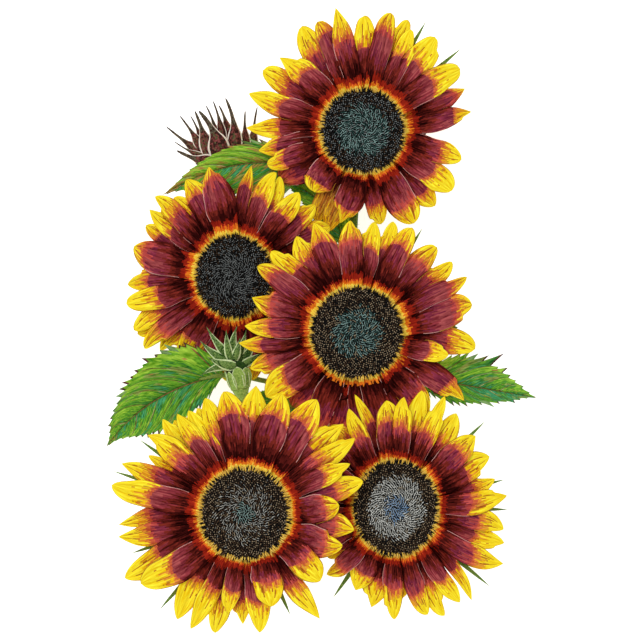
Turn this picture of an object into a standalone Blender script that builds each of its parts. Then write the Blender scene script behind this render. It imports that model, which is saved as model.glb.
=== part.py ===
"""Cut flowering spray of a bicolour garden sunflower, lying on its back.

Five open heads, two closed buds and six leaves stand on one branching stem. The stem lies on the
ground with its cut foot towards -Y, and the heads face up. Metres, +Z up. Each head is a calyx cup
with its bracts, a ring of ray florets in three tiers, and a domed disc; each is a solid of its own.
"""

import cmath
import math
import random
from collections import namedtuple

import bmesh
import bpy
from mathutils import Matrix, Vector

MM = 0.001
GAP = 0.3 * MM  # clear space where two solids meet

# Main stem and stalks
STEM_FOOT_RADIUS = 5.6 * MM
STEM_TOP_RADIUS = 3.9 * MM
STALK_RADIUS = 3.0 * MM
NECK_RADIUS = 4.3 * MM  # where a stalk widens into its head
PETIOLE_RADIUS = 1.7 * MM
TUBE_STEPS = 3  # facets along each span of a stem's route
TUBE_ROUND = 2  # bevel resolution: eight facets round

# Ray florets, shared by all heads
RAY_TIERS = (-2.5 * MM, 0.0, 2.5 * MM)  # height of each tier over the ray plane
RAY_HALF_WIDTH = 8.3 * MM
RAY_THICKNESS = 0.9 * MM
RAY_OUTLINE = ((0.0, 0.62), (0.38, 1.0), (0.74, 0.8))  # along, share of the half width
RAY_ROOM = (0.8, 1.25)  # least and greatest share of the half width, by the room between its neighbours
RAY_RISE = math.radians(3)  # the rays leave the disc slightly upwards
RAY_CURL = -0.075  # and turn back over their length
RAY_LIFT_JITTER = 0.012  # up or down, of the length
RING_WALL = 2.0 * MM
RING_HEIGHT = 3.6 * MM  # above and below the ray plane

# Disc and calyx
DISC_RIM_RISE = 3.4 * MM
DISC_CROWN_RISE = 7.0 * MM
DISC_DIP_RISE = 5.0 * MM
CUP_OVERHANG = 3.0 * MM  # the cup's rim beyond the disc
CUP_DEPTH = 13.0 * MM
TURNED_STEPS = 24
BRACTS = 11  # short bracts round each cup
BRACT_REACH = 46 * MM  # from the head's axis
BRACT_ROOM = 14  # degrees that a long bract keeps free of short ones on each side
BRACT_HALF_WIDTH = 4.6 * MM
LONG_BRACT_HALF_WIDTH = 2.8 * MM
BRACT_THICKNESS = 1.0 * MM
BRACT_OUTLINE = ((0.0, 0.8), (0.35, 1.0), (0.7, 0.45))
BRACT_ROOT_DROP = 3.2 * MM  # below the cup's rim
BRACT_FALL = math.radians(-5)

# Leaves
LEAF_STATIONS = 13
LEAF_THICKNESS = 1.3 * MM
LEAF_FOLD = math.radians(12)  # each side's rise from the midrib
LEAF_SPUR = 1.35  # of the half width, at the long tooth's tip
PETIOLE_IN_LEAF = 0.16  # of the leaf's length

Head = namedtuple("Head", "name place lean_to lean oval disc_radius long_bracts seed")
# place in millimetres; lean_to and lean: the way the head leans and how far, in degrees;
# oval: its width over its height; disc_radius in millimetres;
# long_bracts: direction and reach of each bract that shows beyond the rays, as RAY_TIPS gives them
HEADS = (
    Head("top", (27.9, 123.5, 38), 0, 0, 1.0, 27.2, ((40, 84), (60, 83)), 4),
    Head("left", (-55.9, 29.2, 38), 250, 8, 0.93, 26.8, (), 7),
    Head("centre", (24.1, -8.4, 64), 0, 0, 1.0, 29.6, ((58, 80),), 2),
    Head("lower_right", (48.8, -121.9, 78), 0, 6, 0.88, 31.2,
         ((43, 82), (14, 75), (359, 75), (321, 81), (236, 70)), 5),
    Head("lower_left", (-48.4, -125.2, 100), 120, 2, 0.98, 30.0,
         ((145, 83), (162, 90), (199, 78), (228, 83), (294, 71)), 3),
)

# Every ray's tip in order round its head, as seen from the front: direction in degrees from +X,
# distance from the head's axis in millimetres, and the tier that the ray stands in (2 lies on top)
RAY_TIPS = {
    "top": (
        (11, 72, 1), (22, 72, 0), (33, 75, 2), (51, 77, 2), (64, 73, 2), (69, 78, 0), (77, 79, 1),
        (88, 75, 1), (102, 82, 2), (111, 77, 1), (120, 79, 0), (138, 72, 2), (148, 76, 0), (162, 78, 2),
        (179, 76, 1), (191, 69, 1), (200, 66, 2), (210, 63, 0), (231, 51, 2), (243, 66, 0), (250, 69, 0),
        (256, 62, 1), (280, 62, 0), (299, 69, 2), (314, 68, 0), (327, 70, 2), (344, 67, 1),
    ),
    "left": (
        (0, 69, 2), (14, 70, 1), (27, 70, 0), (41, 70, 1), (51, 69, 2), (64, 71, 1), (69, 73, 2),
        (80, 73, 1), (104, 73, 2), (116, 70, 1), (127, 64, 0), (134, 73, 2), (143, 70, 1), (152, 66, 0),
        (165, 68, 2), (184, 70, 1), (194, 73, 2), (208, 75, 1), (213, 75, 0), (218, 76, 2), (225, 70, 0),
        (238, 68, 2), (252, 70, 1), (266, 71, 0), (279, 70, 2), (293, 68, 1), (306, 65, 0), (320, 65, 2),
        (333, 66, 1), (347, 68, 0),
    ),
    "centre": (
        (15, 77, 1), (26, 80, 2), (36, 77, 0), (48, 76, 1), (63, 77, 2), (72, 76, 0), (82, 73, 1),
        (94, 73, 2), (111, 77, 1), (122, 74, 0), (137, 77, 1), (145, 78, 2), (162, 72, 1), (177, 73, 2),
        (186, 77, 1), (199, 73, 0), (214, 72, 2), (228, 64, 0), (246, 72, 1), (258, 68, 0), (271, 69, 1),
        (285, 70, 2), (298, 71, 0), (312, 71, 2), (329, 82, 1), (347, 61, 2), (353, 77, 0),
    ),
    "lower_right": (
        (7, 73, 2), (15, 68, 0), (29, 70, 1), (42, 70, 2), (56, 73, 0), (65, 79, 1), (76, 78, 0),
        (86, 72, 2), (94, 70, 1), (110, 78, 0), (116, 71, 2), (128, 68, 1), (140, 66, 0), (152, 65, 2),
        (164, 64, 1), (176, 62, 0), (189, 61, 2), (203, 57, 1), (216, 54, 0), (224, 62, 2), (244, 59, 1),
        (257, 66, 0), (269, 72, 2), (274, 59, 0), (286, 72, 2), (294, 77, 1), (305, 74, 2), (311, 78, 0),
        (332, 79, 2), (342, 75, 0), (350, 72, 1),
    ),
    "lower_left": (
        (5, 61, 2), (16, 79, 1), (25, 75, 2), (34, 86, 1), (43, 86, 0), (58, 87, 1), (72, 81, 2),
        (85, 83, 1), (99, 80, 2), (109, 79, 1), (114, 75, 0), (119, 76, 1), (122, 75, 0), (125, 78, 2),
        (128, 76, 0), (131, 81, 1), (140, 81, 2), (150, 73, 0), (157, 86, 1), (169, 88, 2), (186, 82, 0),
        (191, 83, 1), (209, 88, 1), (213, 81, 2), (238, 81, 0), (245, 82, 1), (255, 79, 0), (260, 65, 2),
        (268, 71, 0), (278, 77, 1), (286, 62, 2), (306, 83, 1), (318, 65, 2), (341, 66, 2), (352, 71, 1),
    ),
}

# The slender and the broad rays among them, by direction, and their share of the half width
RAY_SHARES = {
    "top": {11: 0.85, 162: 0.85, 179: 0.8, 280: 0.8, 344: 1.0},
    "left": {80: 0.62, 184: 0.95},
    "centre": {214: 1.4, 329: 1.0},
    "lower_right": {110: 0.62, 216: 0.8, 224: 0.85, 311: 0.62, 332: 0.95},
    "lower_left": {150: 0.62, 169: 1.0, 186: 0.9, 191: 0.95, 238: 1.0, 306: 0.85},
}

Bud = namedtuple("Bud", "name place turn radius depth flatness colour")
# turn: the direction the bud points in, anticlockwise from +X; depth: half its core's length;
# flatness: its height over its width
BUDS = (
    Bud("dark_bud", (-60, 108, 16.8), 103, 21, 15, 0.44, (0.16, 0.035, 0.03)),
    Bud("green_bud", (-54, -33, 50), 101, 12, 11, 0.55, (0.20, 0.33, 0.09)),
)

BudBract = namedtuple("BudBract", "root bow tip half_width height")
# root, control point and tip of the bract's midline, seen from the front, in millimetres;
# height: of the bract over the ground
BUD_BRACTS = {
    "dark_bud": (
        BudBract((-60, 115.5), (-60, 130), (-66.5, 141), 3.6, 12),
        BudBract((-43, 109), (-45, 122), (-41, 140), 3.4, 12),
        BudBract((-76, 110.5), (-78.5, 123.5), (-85, 134), 2.8, 12),
        BudBract((-75, 108.5), (-84.5, 113), (-101, 127), 4.0, 14),
        BudBract((-76, 109), (-81, 120), (-92, 134), 3.6, 15),
        BudBract((-67, 110.5), (-67, 127), (-75, 141), 3.2, 15),
        BudBract((-63, 113), (-64.5, 130), (-70, 143.5), 3.2, 15),
        BudBract((-47.5, 109), (-50, 123.5), (-49, 137), 3.4, 15),
        BudBract((-73, 106), (-84, 108.5), (-95.5, 117), 2.4, 17),
        BudBract((-72, 104.5), (-75.5, 122), (-82, 137), 5.0, 18),
        BudBract((-58, 104.5), (-52, 125), (-62, 145.5), 5.4, 18),
        BudBract((-66, 102), (-79, 103), (-94, 111), 5.6, 20),
        BudBract((-65.5, 102.5), (-64.5, 121), (-79.5, 137), 7.5, 21),
    ),
    "green_bud": (
        BudBract((-54, -26), (-50.5, -17.5), (-48, -6.5), 3.0, 46),
        BudBract((-52, -28), (-45.5, -21), (-41.5, -11.5), 3.2, 46),
        BudBract((-58, -27.5), (-69, -24), (-78, -13.5), 3.4, 49),
        BudBract((-57, -26), (-65.5, -19), (-74, -4.5), 3.4, 49),
        BudBract((-56.5, -26), (-58.5, -16), (-54, -4), 3.6, 49),
        BudBract((-51.5, -30), (-44, -26), (-37.5, -21), 3.0, 49),
        BudBract((-56.5, -30), (-67.5, -28.5), (-78, -36.5), 3.0, 51),
        BudBract((-58, -26.5), (-61, -17), (-61, -6.5), 2.8, 52),
        BudBract((-56, -26.5), (-53.5, -19.5), (-52, -11.5), 3.0, 52),
        BudBract((-54.5, -30), (-63.5, -30), (-73.5, -24), 3.8, 54),
    ),
}
BUD_BRACT_OUTLINE = ((0.0, 0.7), (0.3, 1.0), (0.56, 0.35))  # ovate, with a long tail

Leaf = namedtuple("Leaf", "name stem_end base bow tip left right bank tooth spur")
# stem_end, base, bow and tip: petiole start, blade base, midrib control point and tip;
# left, right: each side seen from the base, as its half width and its swell, which is under 0.62 where
# the side is fullest near the base and over it where it is fullest near the middle;
# bank: rise of the left side, in degrees; tooth: depth of the margin's notches, of the half width;
# spur: station of the one long tooth on the left side
LEAVES = (
    Leaf("upper_left_leaf", (19, 48, 7), (-4, 98, 20), (-52, 113, 50), (-103, 82, 8),
         (21, 0.66), (14, 0.75), 0, 0.14, None),
    Leaf("left_leaf", (3, -46, 8), (-63, -36, 33), (-113, -45, 38), (-140, -83, 1),
         (21, 0.85), (28, 0.56), -8, 0.12, None),
    Leaf("right_leaf", (4, -70, 8), (66, -38, 46), (104, -44, 44), (142, -51, 1),
         (20, 0.66), (13, 0.56), 0, 0.2, 7),
    Leaf("small_right_leaf", (11, -20, 8), (46, -6, 34), (70, -3, 44), (90, -5, 43),
         (7, 1.5), (7, 1.5), 0, 0.1, None),
    Leaf("lower_middle_leaf", (3, -75, 8), (-6, -66, 16), (-24, -52, 22), (-44, -48, 12),
         (12, 0.62), (12, 0.62), 0, 0.1, None),
    Leaf("upper_middle_leaf", (18, 38, 8), (16, 50, 14), (8, 82, 22), (-30, 94, 15),
         (12, 0.62), (10, 0.62), 0, 0.1, None),
)

STEM_ROUTE = ((-14.5, -166, 5.6), (-10, -117, 5.6), (5, -62, 5.2), (13, -8, 4.7), (21, 58, 4.2))
TOP_STALK_ROUTE = ((21.1, 58.8, 4.2), (22.6, 76, 4.4), (26, 104, 6))
# stalks that leave the side of the main stem, to their head or bud
STALK_ROUTES = {
    "left": ((16, 16, 5), (-12, 22, 5), (-40, 26, 8)),
    "centre": ((5.5, -56, 5), (14, -44, 9), (22, -24, 22)),
    "lower_right": ((-5, -98, 5), (16, -106, 12), (38, -118, 34)),
    "lower_left": ((-11.5, -128, 5), (-24, -128, 14), (-41, -126, 46)),
    "dark_bud": ((19, 42, 4.5), (-14, 64, 7), (-44, 80, 12)),
    "green_bud": ((-8, -108, 5), (-24, -92, 14), (-40, -68, 34)),
}

STEM_GREEN = (0.24, 0.36, 0.10)
LEAF_GREEN = (0.13, 0.34, 0.06)
RAY_RED = (0.33, 0.03, 0.035)
DISC_DARK = (0.025, 0.022, 0.026)


def clear_scene():
    for old in list(bpy.data.objects):
        bpy.data.objects.remove(old, do_unlink=True)


def finish(name, colour, roughness):
    made = bpy.data.materials.new(name + "_surface")
    made.use_nodes = True
    shader = made.node_tree.nodes["Principled BSDF"]
    shader.inputs["Base Color"].default_value = (*colour, 1.0)
    shader.inputs["Roughness"].default_value = roughness
    shader.inputs["Metallic"].default_value = 0.0
    return made


def in_metres(point):
    return Vector(point) * MM


def object_of(name, mesh):
    made = bpy.data.objects.new(name, mesh)
    bpy.context.scene.collection.objects.link(made)
    return made


def remove(objects):
    for old in objects:
        bpy.data.objects.remove(old, do_unlink=True)


def evaluated_mesh(source):
    """The object's mesh with its modifiers applied, its curve caps welded and its normals outward."""
    graph = bpy.context.evaluated_depsgraph_get()
    mesh = bpy.data.meshes.new_from_object(source.evaluated_get(graph))
    work = bmesh.new()
    work.from_mesh(mesh)
    work.transform(source.matrix_world)
    bmesh.ops.remove_doubles(work, verts=work.verts, dist=0.001 * MM)
    bmesh.ops.recalc_face_normals(work, faces=work.faces)
    work.to_mesh(mesh)
    work.free()
    return mesh


def fused(name, core, pieces):
    """One closed body from a core and the pieces sunk into it."""
    members = bpy.data.collections.new(name + "_members")
    bpy.context.scene.collection.children.link(members)
    for piece in pieces:
        members.objects.link(piece)
    join = core.modifiers.new("fuse", "BOOLEAN")
    join.operation = "UNION"
    join.operand_type = "COLLECTION"
    join.collection = members
    bpy.context.view_layer.update()
    made = object_of(name, evaluated_mesh(core))
    remove([core, *pieces])
    bpy.data.collections.remove(members)
    return made


def loft(name, sections, tip, transform):
    """Closed solid through four-point sections, with a flat root and a pointed tip."""
    work = bmesh.new()
    rings = [[work.verts.new(point) for point in section] for section in sections]
    end = work.verts.new(tip)
    work.faces.new(rings[0])
    for ring, after in zip(rings, rings[1:]):
        for i in range(4):
            j = (i + 1) % 4
            work.faces.new((ring[i], ring[j], after[j], after[i]))
    for i in range(4):
        work.faces.new((rings[-1][i], rings[-1][(i + 1) % 4], end))
    bmesh.ops.recalc_face_normals(work, faces=work.faces)
    work.transform(transform)
    mesh = bpy.data.meshes.new(name)
    work.to_mesh(mesh)
    work.free()
    return object_of(name, mesh)


def blade(name, root, length, half_width, outline, thickness, transform, rise=0.0, curl=0.0, bend=0.0):
    """Lens-section blade from root (x, z) outwards along +X; curl turns it up and bend to the side."""
    along = Vector((math.cos(rise), 0, math.sin(rise)))
    across = Vector((-math.sin(rise), 0, math.cos(rise)))
    start = Vector((root[0], 0, root[1]))

    def middle(t):
        return start + length * (t * along + t * t * (curl * across + Vector((0, bend, 0))))

    sections = []
    for t, share in outline:
        side = Vector((0, share * half_width, 0))
        half = across * thickness / 2
        sections.append((middle(t) + side, middle(t) + half, middle(t) - side, middle(t) - half))
    return loft(name, sections, middle(1.0), transform)


def tube(name, route, radii):
    """Round tapering tube with filled caps along a smooth route, as a mesh."""
    curve = bpy.data.curves.new(name, "CURVE")
    curve.dimensions = "3D"
    curve.resolution_u = TUBE_STEPS
    curve.bevel_depth = 1.0
    curve.bevel_resolution = TUBE_ROUND
    curve.use_fill_caps = True
    spline = curve.splines.new("BEZIER")
    spline.bezier_points.add(len(route) - 1)
    for knot, point, radius in zip(spline.bezier_points, route, radii):
        knot.co = point
        knot.radius = radius
        knot.handle_left_type = knot.handle_right_type = "AUTO"
    guide = object_of(name, curve)
    bpy.context.view_layer.update()
    mesh = evaluated_mesh(guide)
    remove([guide])
    return object_of(name, mesh)


def turned(name, profile, transform):
    """Solid of revolution about Z. The profile runs from the axis at the top to the axis at the base."""
    work = bmesh.new()
    verts = [work.verts.new((radius, 0, height)) for radius, height in profile]
    for one, other in zip(verts, verts[1:]):
        work.edges.new((one, other))
    mesh = bpy.data.meshes.new(name)
    work.to_mesh(mesh)
    work.free()
    outline = object_of(name, mesh)
    screw = outline.modifiers.new("turn", "SCREW")
    screw.steps = screw.render_steps = TURNED_STEPS
    screw.use_merge_vertices = True
    screw.merge_threshold = 0.01 * MM
    screw.use_normal_calculate = True
    outline.matrix_world = transform
    bpy.context.view_layer.update()
    solid = evaluated_mesh(outline)
    remove([outline])
    return object_of(name, solid)


def spin(angle):
    return Matrix.Rotation(math.radians(angle), 4, "Z")


def head_frame(head):
    """Ray plane of the head as XY, its axis as Z."""
    turn = math.radians(head.lean_to)
    hinge = Vector((-math.sin(turn), math.cos(turn), 0))
    tilt = Matrix.Rotation(math.radians(head.lean), 4, hinge)
    return Matrix.Translation(in_metres(head.place)) @ tilt @ Matrix.Diagonal((head.oval, 1, 1, 1))


def on_face(head, direction, reach):
    """Direction in degrees and distance in metres on the head's own face of a place seen from the front."""
    turn = math.radians(direction)
    place = complex(reach * math.cos(turn) / head.oval, reach * math.sin(turn)) * MM
    return math.degrees(cmath.phase(place)) % 360, abs(place)


def ray_places(head):
    """Each ray's root direction, tip direction and reach on the face, tier and share of the half width."""
    tips = [(*on_face(head, direction, reach), tier) for direction, reach, tier in RAY_TIPS[head.name]]
    places = []
    for index, (tip, reach, tier) in enumerate(tips):
        before = (tip - tips[index - 1][0]) % 360
        after = (tips[(index + 1) % len(tips)][0] - tip) % 360
        root = tip + (after - before) / 3  # the mean of the ray's own tip and its neighbours' tips
        room = min(max((before + after) / 2 * len(tips) / 360, RAY_ROOM[0]), RAY_ROOM[1])
        room = RAY_SHARES[head.name].get(RAY_TIPS[head.name][index][0], room)
        places.append((root, tip, reach, tier, room))
    return places


def ray_ring(head):
    frame = head_frame(head)
    inner = head.disc_radius * MM + GAP
    outer = inner + RING_WALL
    profile = [(inner, RING_HEIGHT), (outer, RING_HEIGHT), (outer, -RING_HEIGHT), (inner, -RING_HEIGHT)]
    ring = turned(head.name + "_ring", profile + profile[:1], frame)
    deal = random.Random(head.seed)
    start = inner + RING_WALL / 2
    rays = []
    for index, (root, tip, reach, tier, room) in enumerate(ray_places(head)):
        swing = math.radians(tip - root)
        length = reach * math.cos(swing) - start
        bend = reach * math.sin(swing) / length
        curl = RAY_CURL + deal.uniform(-RAY_LIFT_JITTER, RAY_LIFT_JITTER)
        rays.append(
            blade(f"{head.name}_ray_{index}", (start, RAY_TIERS[tier]), length, RAY_HALF_WIDTH * room,
                  RAY_OUTLINE, RAY_THICKNESS, frame @ spin(root), RAY_RISE, curl, bend)
        )
    return fused(head.name + "_rays", ring, rays)


def disc(head):
    radius = head.disc_radius * MM
    profile = [
        (0, DISC_DIP_RISE),
        (0.3 * radius, DISC_DIP_RISE),
        (0.62 * radius, DISC_CROWN_RISE),
        (0.88 * radius, DISC_CROWN_RISE - 1.2 * MM),
        (radius, DISC_RIM_RISE),
        (radius, -RING_HEIGHT),
        (0, -RING_HEIGHT),
    ]
    return turned(head.name + "_disc", profile, head_frame(head))


def calyx(head):
    """Cup under the ring and disc, narrowing to the neck, with bracts round its side."""
    frame = head_frame(head)
    rim = -RING_HEIGHT - GAP
    radius = head.disc_radius * MM + CUP_OVERHANG
    profile = [
        (0, rim),
        (radius, rim),
        (radius + 0.4 * MM, rim - 0.32 * CUP_DEPTH),
        (0.62 * radius, rim - 0.72 * CUP_DEPTH),
        (NECK_RADIUS, rim - CUP_DEPTH),
        (0, rim - CUP_DEPTH),
    ]
    cup = turned(head.name + "_cup", profile, frame)
    root = (radius - 4 * MM, rim - BRACT_ROOT_DROP)
    long_bracts = [on_face(head, direction, reach) for direction, reach in head.long_bracts]
    short_bracts = [(index * 360 / BRACTS, BRACT_REACH) for index in range(BRACTS)]
    directions = [(angle, reach, LONG_BRACT_HALF_WIDTH) for angle, reach in long_bracts] + [
        (angle, reach, BRACT_HALF_WIDTH)
        for angle, reach in short_bracts
        if all(abs((angle - other + 180) % 360 - 180) > BRACT_ROOM for other, _ in long_bracts)
    ]
    bracts = [
        blade(f"{head.name}_bract_{index}", root, reach - root[0], half, BRACT_OUTLINE, BRACT_THICKNESS,
              frame @ spin(angle), BRACT_FALL)
        for index, (angle, reach, half) in enumerate(directions)
    ]
    return fused(head.name + "_calyx", cup, bracts)


def bud(kind):
    """Closed bud lying on its side: a flattened core with bracts that flare round it."""
    upright = Matrix.Rotation(math.radians(90), 4, "Y")
    frame = (
        Matrix.Translation(in_metres(kind.place))
        @ Matrix.Diagonal((1, 1, kind.flatness, 1))
        @ spin(kind.turn)
        @ upright
    )
    work = bmesh.new()
    bmesh.ops.create_uvsphere(work, u_segments=14, v_segments=8, radius=1.0)
    work.transform(frame @ Matrix.Diagonal((kind.radius * MM, kind.radius * MM, kind.depth * MM, 1)))
    mesh = bpy.data.meshes.new(kind.name)
    bmesh.ops.recalc_face_normals(work, faces=work.faces)
    work.to_mesh(mesh)
    work.free()
    core = object_of(kind.name + "_core", mesh)
    bracts = [bud_bract(f"{kind.name}_bract_{index}", own) for index, own in enumerate(BUD_BRACTS[kind.name])]
    return fused(kind.name, core, bracts)


def bud_bract(name, own):
    """Lens-section bract that lies level along its bowed midline."""
    root, bow, tip = (in_metres((*point, own.height)) for point in (own.root, own.bow, own.tip))
    lift = Vector((0, 0, BRACT_THICKNESS / 2))
    sections = []
    for t, share in BUD_BRACT_OUTLINE:
        middle = root.lerp(bow, t).lerp(bow.lerp(tip, t), t)
        along = (bow.lerp(tip, t) - root.lerp(bow, t)).normalized()
        side = Vector((0, 0, 1)).cross(along) * share * own.half_width * MM
        sections.append((middle + side, middle + lift, middle - side, middle - lift))
    return loft(name, sections, tip, Matrix.Identity(4))


def half_width(side, tooth, t, station, spur=None):
    """Width of one side of a leaf at a share t of its length; every second station is a notch."""
    width, swell = side
    stand = LEAF_SPUR if station == spur else 1 - tooth * (station % 2)
    return width * MM * math.sin(math.pi * t**swell) * stand


def leaf(kind):
    """Toothed ovate blade folded along its midrib, fused to its petiole."""
    base, bow, tip = (in_metres(point) for point in (kind.base, kind.bow, kind.tip))
    sections = []
    for station in range(LEAF_STATIONS):
        t = 0.02 + 0.98 * station / LEAF_STATIONS
        middle = base.lerp(bow, t).lerp(bow.lerp(tip, t), t)
        along = (bow.lerp(tip, t) - base.lerp(bow, t)).normalized()
        side = Vector((0, 0, 1)).cross(along).normalized()
        up = along.cross(side)
        bank = math.radians(kind.bank)
        left_width = half_width(kind.left, kind.tooth, t, station, kind.spur)
        right_width = half_width(kind.right, kind.tooth, t, station)
        left = Matrix.Rotation(bank + LEAF_FOLD, 3, along) @ side * left_width
        right = Matrix.Rotation(bank - LEAF_FOLD, 3, along) @ -side * right_width
        half = up * LEAF_THICKNESS / 2
        sections.append((middle + left, middle + half, middle + right, middle - half))
    blade_solid = loft(kind.name + "_blade", sections, tip, Matrix.Identity(4))
    inner = base.lerp(bow, 2 * PETIOLE_IN_LEAF)
    start = in_metres(kind.stem_end)
    sag = start.lerp(base, 0.5) - Vector((0, 0, 0.2 * (base.z - start.z)))
    radii = (PETIOLE_RADIUS * 1.2, PETIOLE_RADIUS, PETIOLE_RADIUS, PETIOLE_RADIUS * 0.6)
    petiole = tube(kind.name + "_petiole", (start, sag, base, inner), radii)
    return fused(kind.name, petiole, [blade_solid])


def main_stem(clearance=0.0):
    route = [in_metres(point) for point in STEM_ROUTE]
    last = len(route) - 1
    taper = (STEM_TOP_RADIUS - STEM_FOOT_RADIUS) / last
    radii = [STEM_FOOT_RADIUS + taper * i + clearance for i in range(last + 1)]
    return tube("main_stem" if not clearance else "stem_cutter", route, radii)


def clear_of(made, cutter):
    """Cuts the object clear of the stem it springs from."""
    cut = made.modifiers.new("meet the stem", "BOOLEAN")
    cut.operation = "DIFFERENCE"
    cut.object = cutter
    return made


def head_stalk(head, route):
    """Stalk from its route's start to 0.3 mm under the head's neck."""
    frame = head_frame(head)
    foot = -RING_HEIGHT - 2 * GAP - CUP_DEPTH
    top = frame @ Vector((0, 0, foot))
    below = frame @ Vector((0, 0, foot - 6 * MM))
    points = [in_metres(point) for point in route] + [below, top]
    radii = [STALK_RADIUS * 1.1] + [STALK_RADIUS] * (len(points) - 3) + [STALK_RADIUS * 1.15, NECK_RADIUS]
    return tube(head.name + "_stalk", points, radii)


def bud_stalk(kind, route):
    """Stalk from the main stem to just short of the bud's base."""
    away = spin(kind.turn) @ Vector((-1, 0, 0))
    end = in_metres(kind.place) + away * (kind.depth * MM + 2 * GAP)
    points = [in_metres(point) for point in route] + [end + away * 5 * MM, end]
    return tube(kind.name + "_stalk", points, [STALK_RADIUS * 0.8] * (len(points) - 1) + [STALK_RADIUS])


def bounds(objects):
    """Lowest and highest corner of the objects, with their modifiers applied."""
    bpy.context.view_layer.update()
    graph = bpy.context.evaluated_depsgraph_get()
    points = [vert.co for made in objects for vert in made.evaluated_get(graph).data.vertices]
    return tuple(Vector([pick(point[axis] for point in points) for axis in range(3)]) for pick in (min, max))


def place_in(collection, made, origin):
    bpy.context.scene.collection.objects.unlink(made)
    collection.objects.link(made)
    made.parent = origin


def build():
    clear_scene()
    spray = bpy.data.collections.new("sunflower_spray")
    cutters = bpy.data.collections.new("cutters")
    bpy.context.scene.collection.children.link(spray)
    bpy.context.scene.collection.children.link(cutters)

    stem = main_stem()
    cutter = main_stem(GAP)
    cutter.hide_render = True
    cutter.display_type = "WIRE"

    parts = [(stem, STEM_GREEN, 0.6)]
    for head in HEADS:
        route = STALK_ROUTES.get(head.name, TOP_STALK_ROUTE)
        stalk = head_stalk(head, route)
        parts += [
            (stalk if route is TOP_STALK_ROUTE else clear_of(stalk, cutter), STEM_GREEN, 0.6),
            (calyx(head), STEM_GREEN, 0.7),
            (ray_ring(head), RAY_RED, 0.55),
            (disc(head), DISC_DARK, 0.8),
        ]
    for kind in BUDS:
        parts.append((bud(kind), kind.colour, 0.7))
        parts.append((clear_of(bud_stalk(kind, STALK_ROUTES[kind.name]), cutter), STEM_GREEN, 0.6))
    for kind in LEAVES:
        parts.append((clear_of(leaf(kind), cutter), LEAF_GREEN, 0.6))

    low, high = bounds([made for made, _, _ in parts])
    origin = bpy.data.objects.new("spray_origin", None)
    spray.objects.link(origin)
    origin.location = -Vector(((low.x + high.x) / 2, (low.y + high.y) / 2, low.z))
    for made, colour, roughness in parts:
        made.data.materials.clear()
        made.data.materials.append(finish(made.name, colour, roughness))
        made.data.set_sharp_from_angle(angle=math.radians(35))
        place_in(spray, made, origin)
    place_in(cutters, cutter, origin)


build()
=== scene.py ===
"""Looks of the cut sunflower spray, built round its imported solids.

Finer pieces grown by the same rule stand for every solid: ray florets with ribs and a dealt pattern of zones,
discs of single florets, leaves with veins and teeth, bracts, buds, and ribbed stems with bristles.
Lengths are in millimetres in the spray's own layout; Weave.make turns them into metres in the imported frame.
"""

import cmath
import math
import random
from collections import namedtuple

import bpy
import numpy as np
from mathutils import Matrix, Vector
from mathutils.geometry import interpolate_bezier


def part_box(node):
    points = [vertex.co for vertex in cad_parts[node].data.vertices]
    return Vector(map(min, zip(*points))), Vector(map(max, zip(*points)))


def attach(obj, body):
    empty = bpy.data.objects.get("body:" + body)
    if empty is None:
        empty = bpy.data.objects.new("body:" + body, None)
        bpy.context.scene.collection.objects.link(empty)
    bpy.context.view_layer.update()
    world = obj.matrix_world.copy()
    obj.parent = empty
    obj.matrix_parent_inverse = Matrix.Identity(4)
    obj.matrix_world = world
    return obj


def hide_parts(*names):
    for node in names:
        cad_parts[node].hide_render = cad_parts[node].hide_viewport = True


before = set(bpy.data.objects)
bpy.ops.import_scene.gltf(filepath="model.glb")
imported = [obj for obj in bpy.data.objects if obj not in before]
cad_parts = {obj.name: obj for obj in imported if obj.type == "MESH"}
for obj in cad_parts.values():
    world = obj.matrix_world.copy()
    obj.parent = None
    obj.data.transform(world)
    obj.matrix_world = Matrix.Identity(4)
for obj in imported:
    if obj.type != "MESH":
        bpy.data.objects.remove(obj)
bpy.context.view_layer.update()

MM = 0.001
MAP = "OFBake"

# ---------------- the spray's rule, as its solids have it
STEM_FOOT_RADIUS, STEM_TOP_RADIUS, STALK_RADIUS, NECK_RADIUS, PETIOLE_RADIUS = 5.6, 3.9, 3.0, 4.3, 1.7
NECK_GAP = 0.3

RAY_TIERS = (-2.5, 0.0, 2.5)
RAY_HALF_WIDTH = 8.3
RAY_ROOM = (0.8, 1.25)
RAY_RISE = math.radians(3)
RAY_CURL = -0.075
RAY_LIFT_JITTER = 0.012
RING_WALL, RING_HEIGHT = 2.0, 3.6

DISC_RIM_RISE, DISC_CROWN_RISE, DISC_DIP_RISE = 3.4, 7.0, 5.0
CUP_OVERHANG, CUP_DEPTH = 3.0, 13.0
BRACTS, BRACT_REACH, BRACT_ROOM = 11, 46, 14
BRACT_HALF_WIDTH, LONG_BRACT_HALF_WIDTH = 4.6, 2.8
BRACT_ROOT_DROP = 3.2
BRACT_FALL = math.radians(-5)
LEAF_FOLD = math.radians(12)

Head = namedtuple("Head", "name place lean_to lean oval disc_radius long_bracts seed")
HEADS = (
    Head("top", (27.9, 123.5, 38), 0, 0, 1.0, 27.2, ((40, 84), (60, 83)), 4),
    Head("left", (-55.9, 29.2, 38), 250, 8, 0.93, 26.8, (), 7),
    Head("centre", (24.1, -8.4, 64), 0, 0, 1.0, 29.6, ((58, 80),), 2),
    Head("lower_right", (48.8, -121.9, 78), 0, 6, 0.88, 31.2,
         ((43, 82), (14, 75), (359, 75), (321, 81), (236, 70)), 5),
    Head("lower_left", (-48.4, -125.2, 100), 120, 2, 0.98, 30.0,
         ((145, 83), (162, 90), (199, 78), (228, 83), (294, 71)), 3),
)

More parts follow.
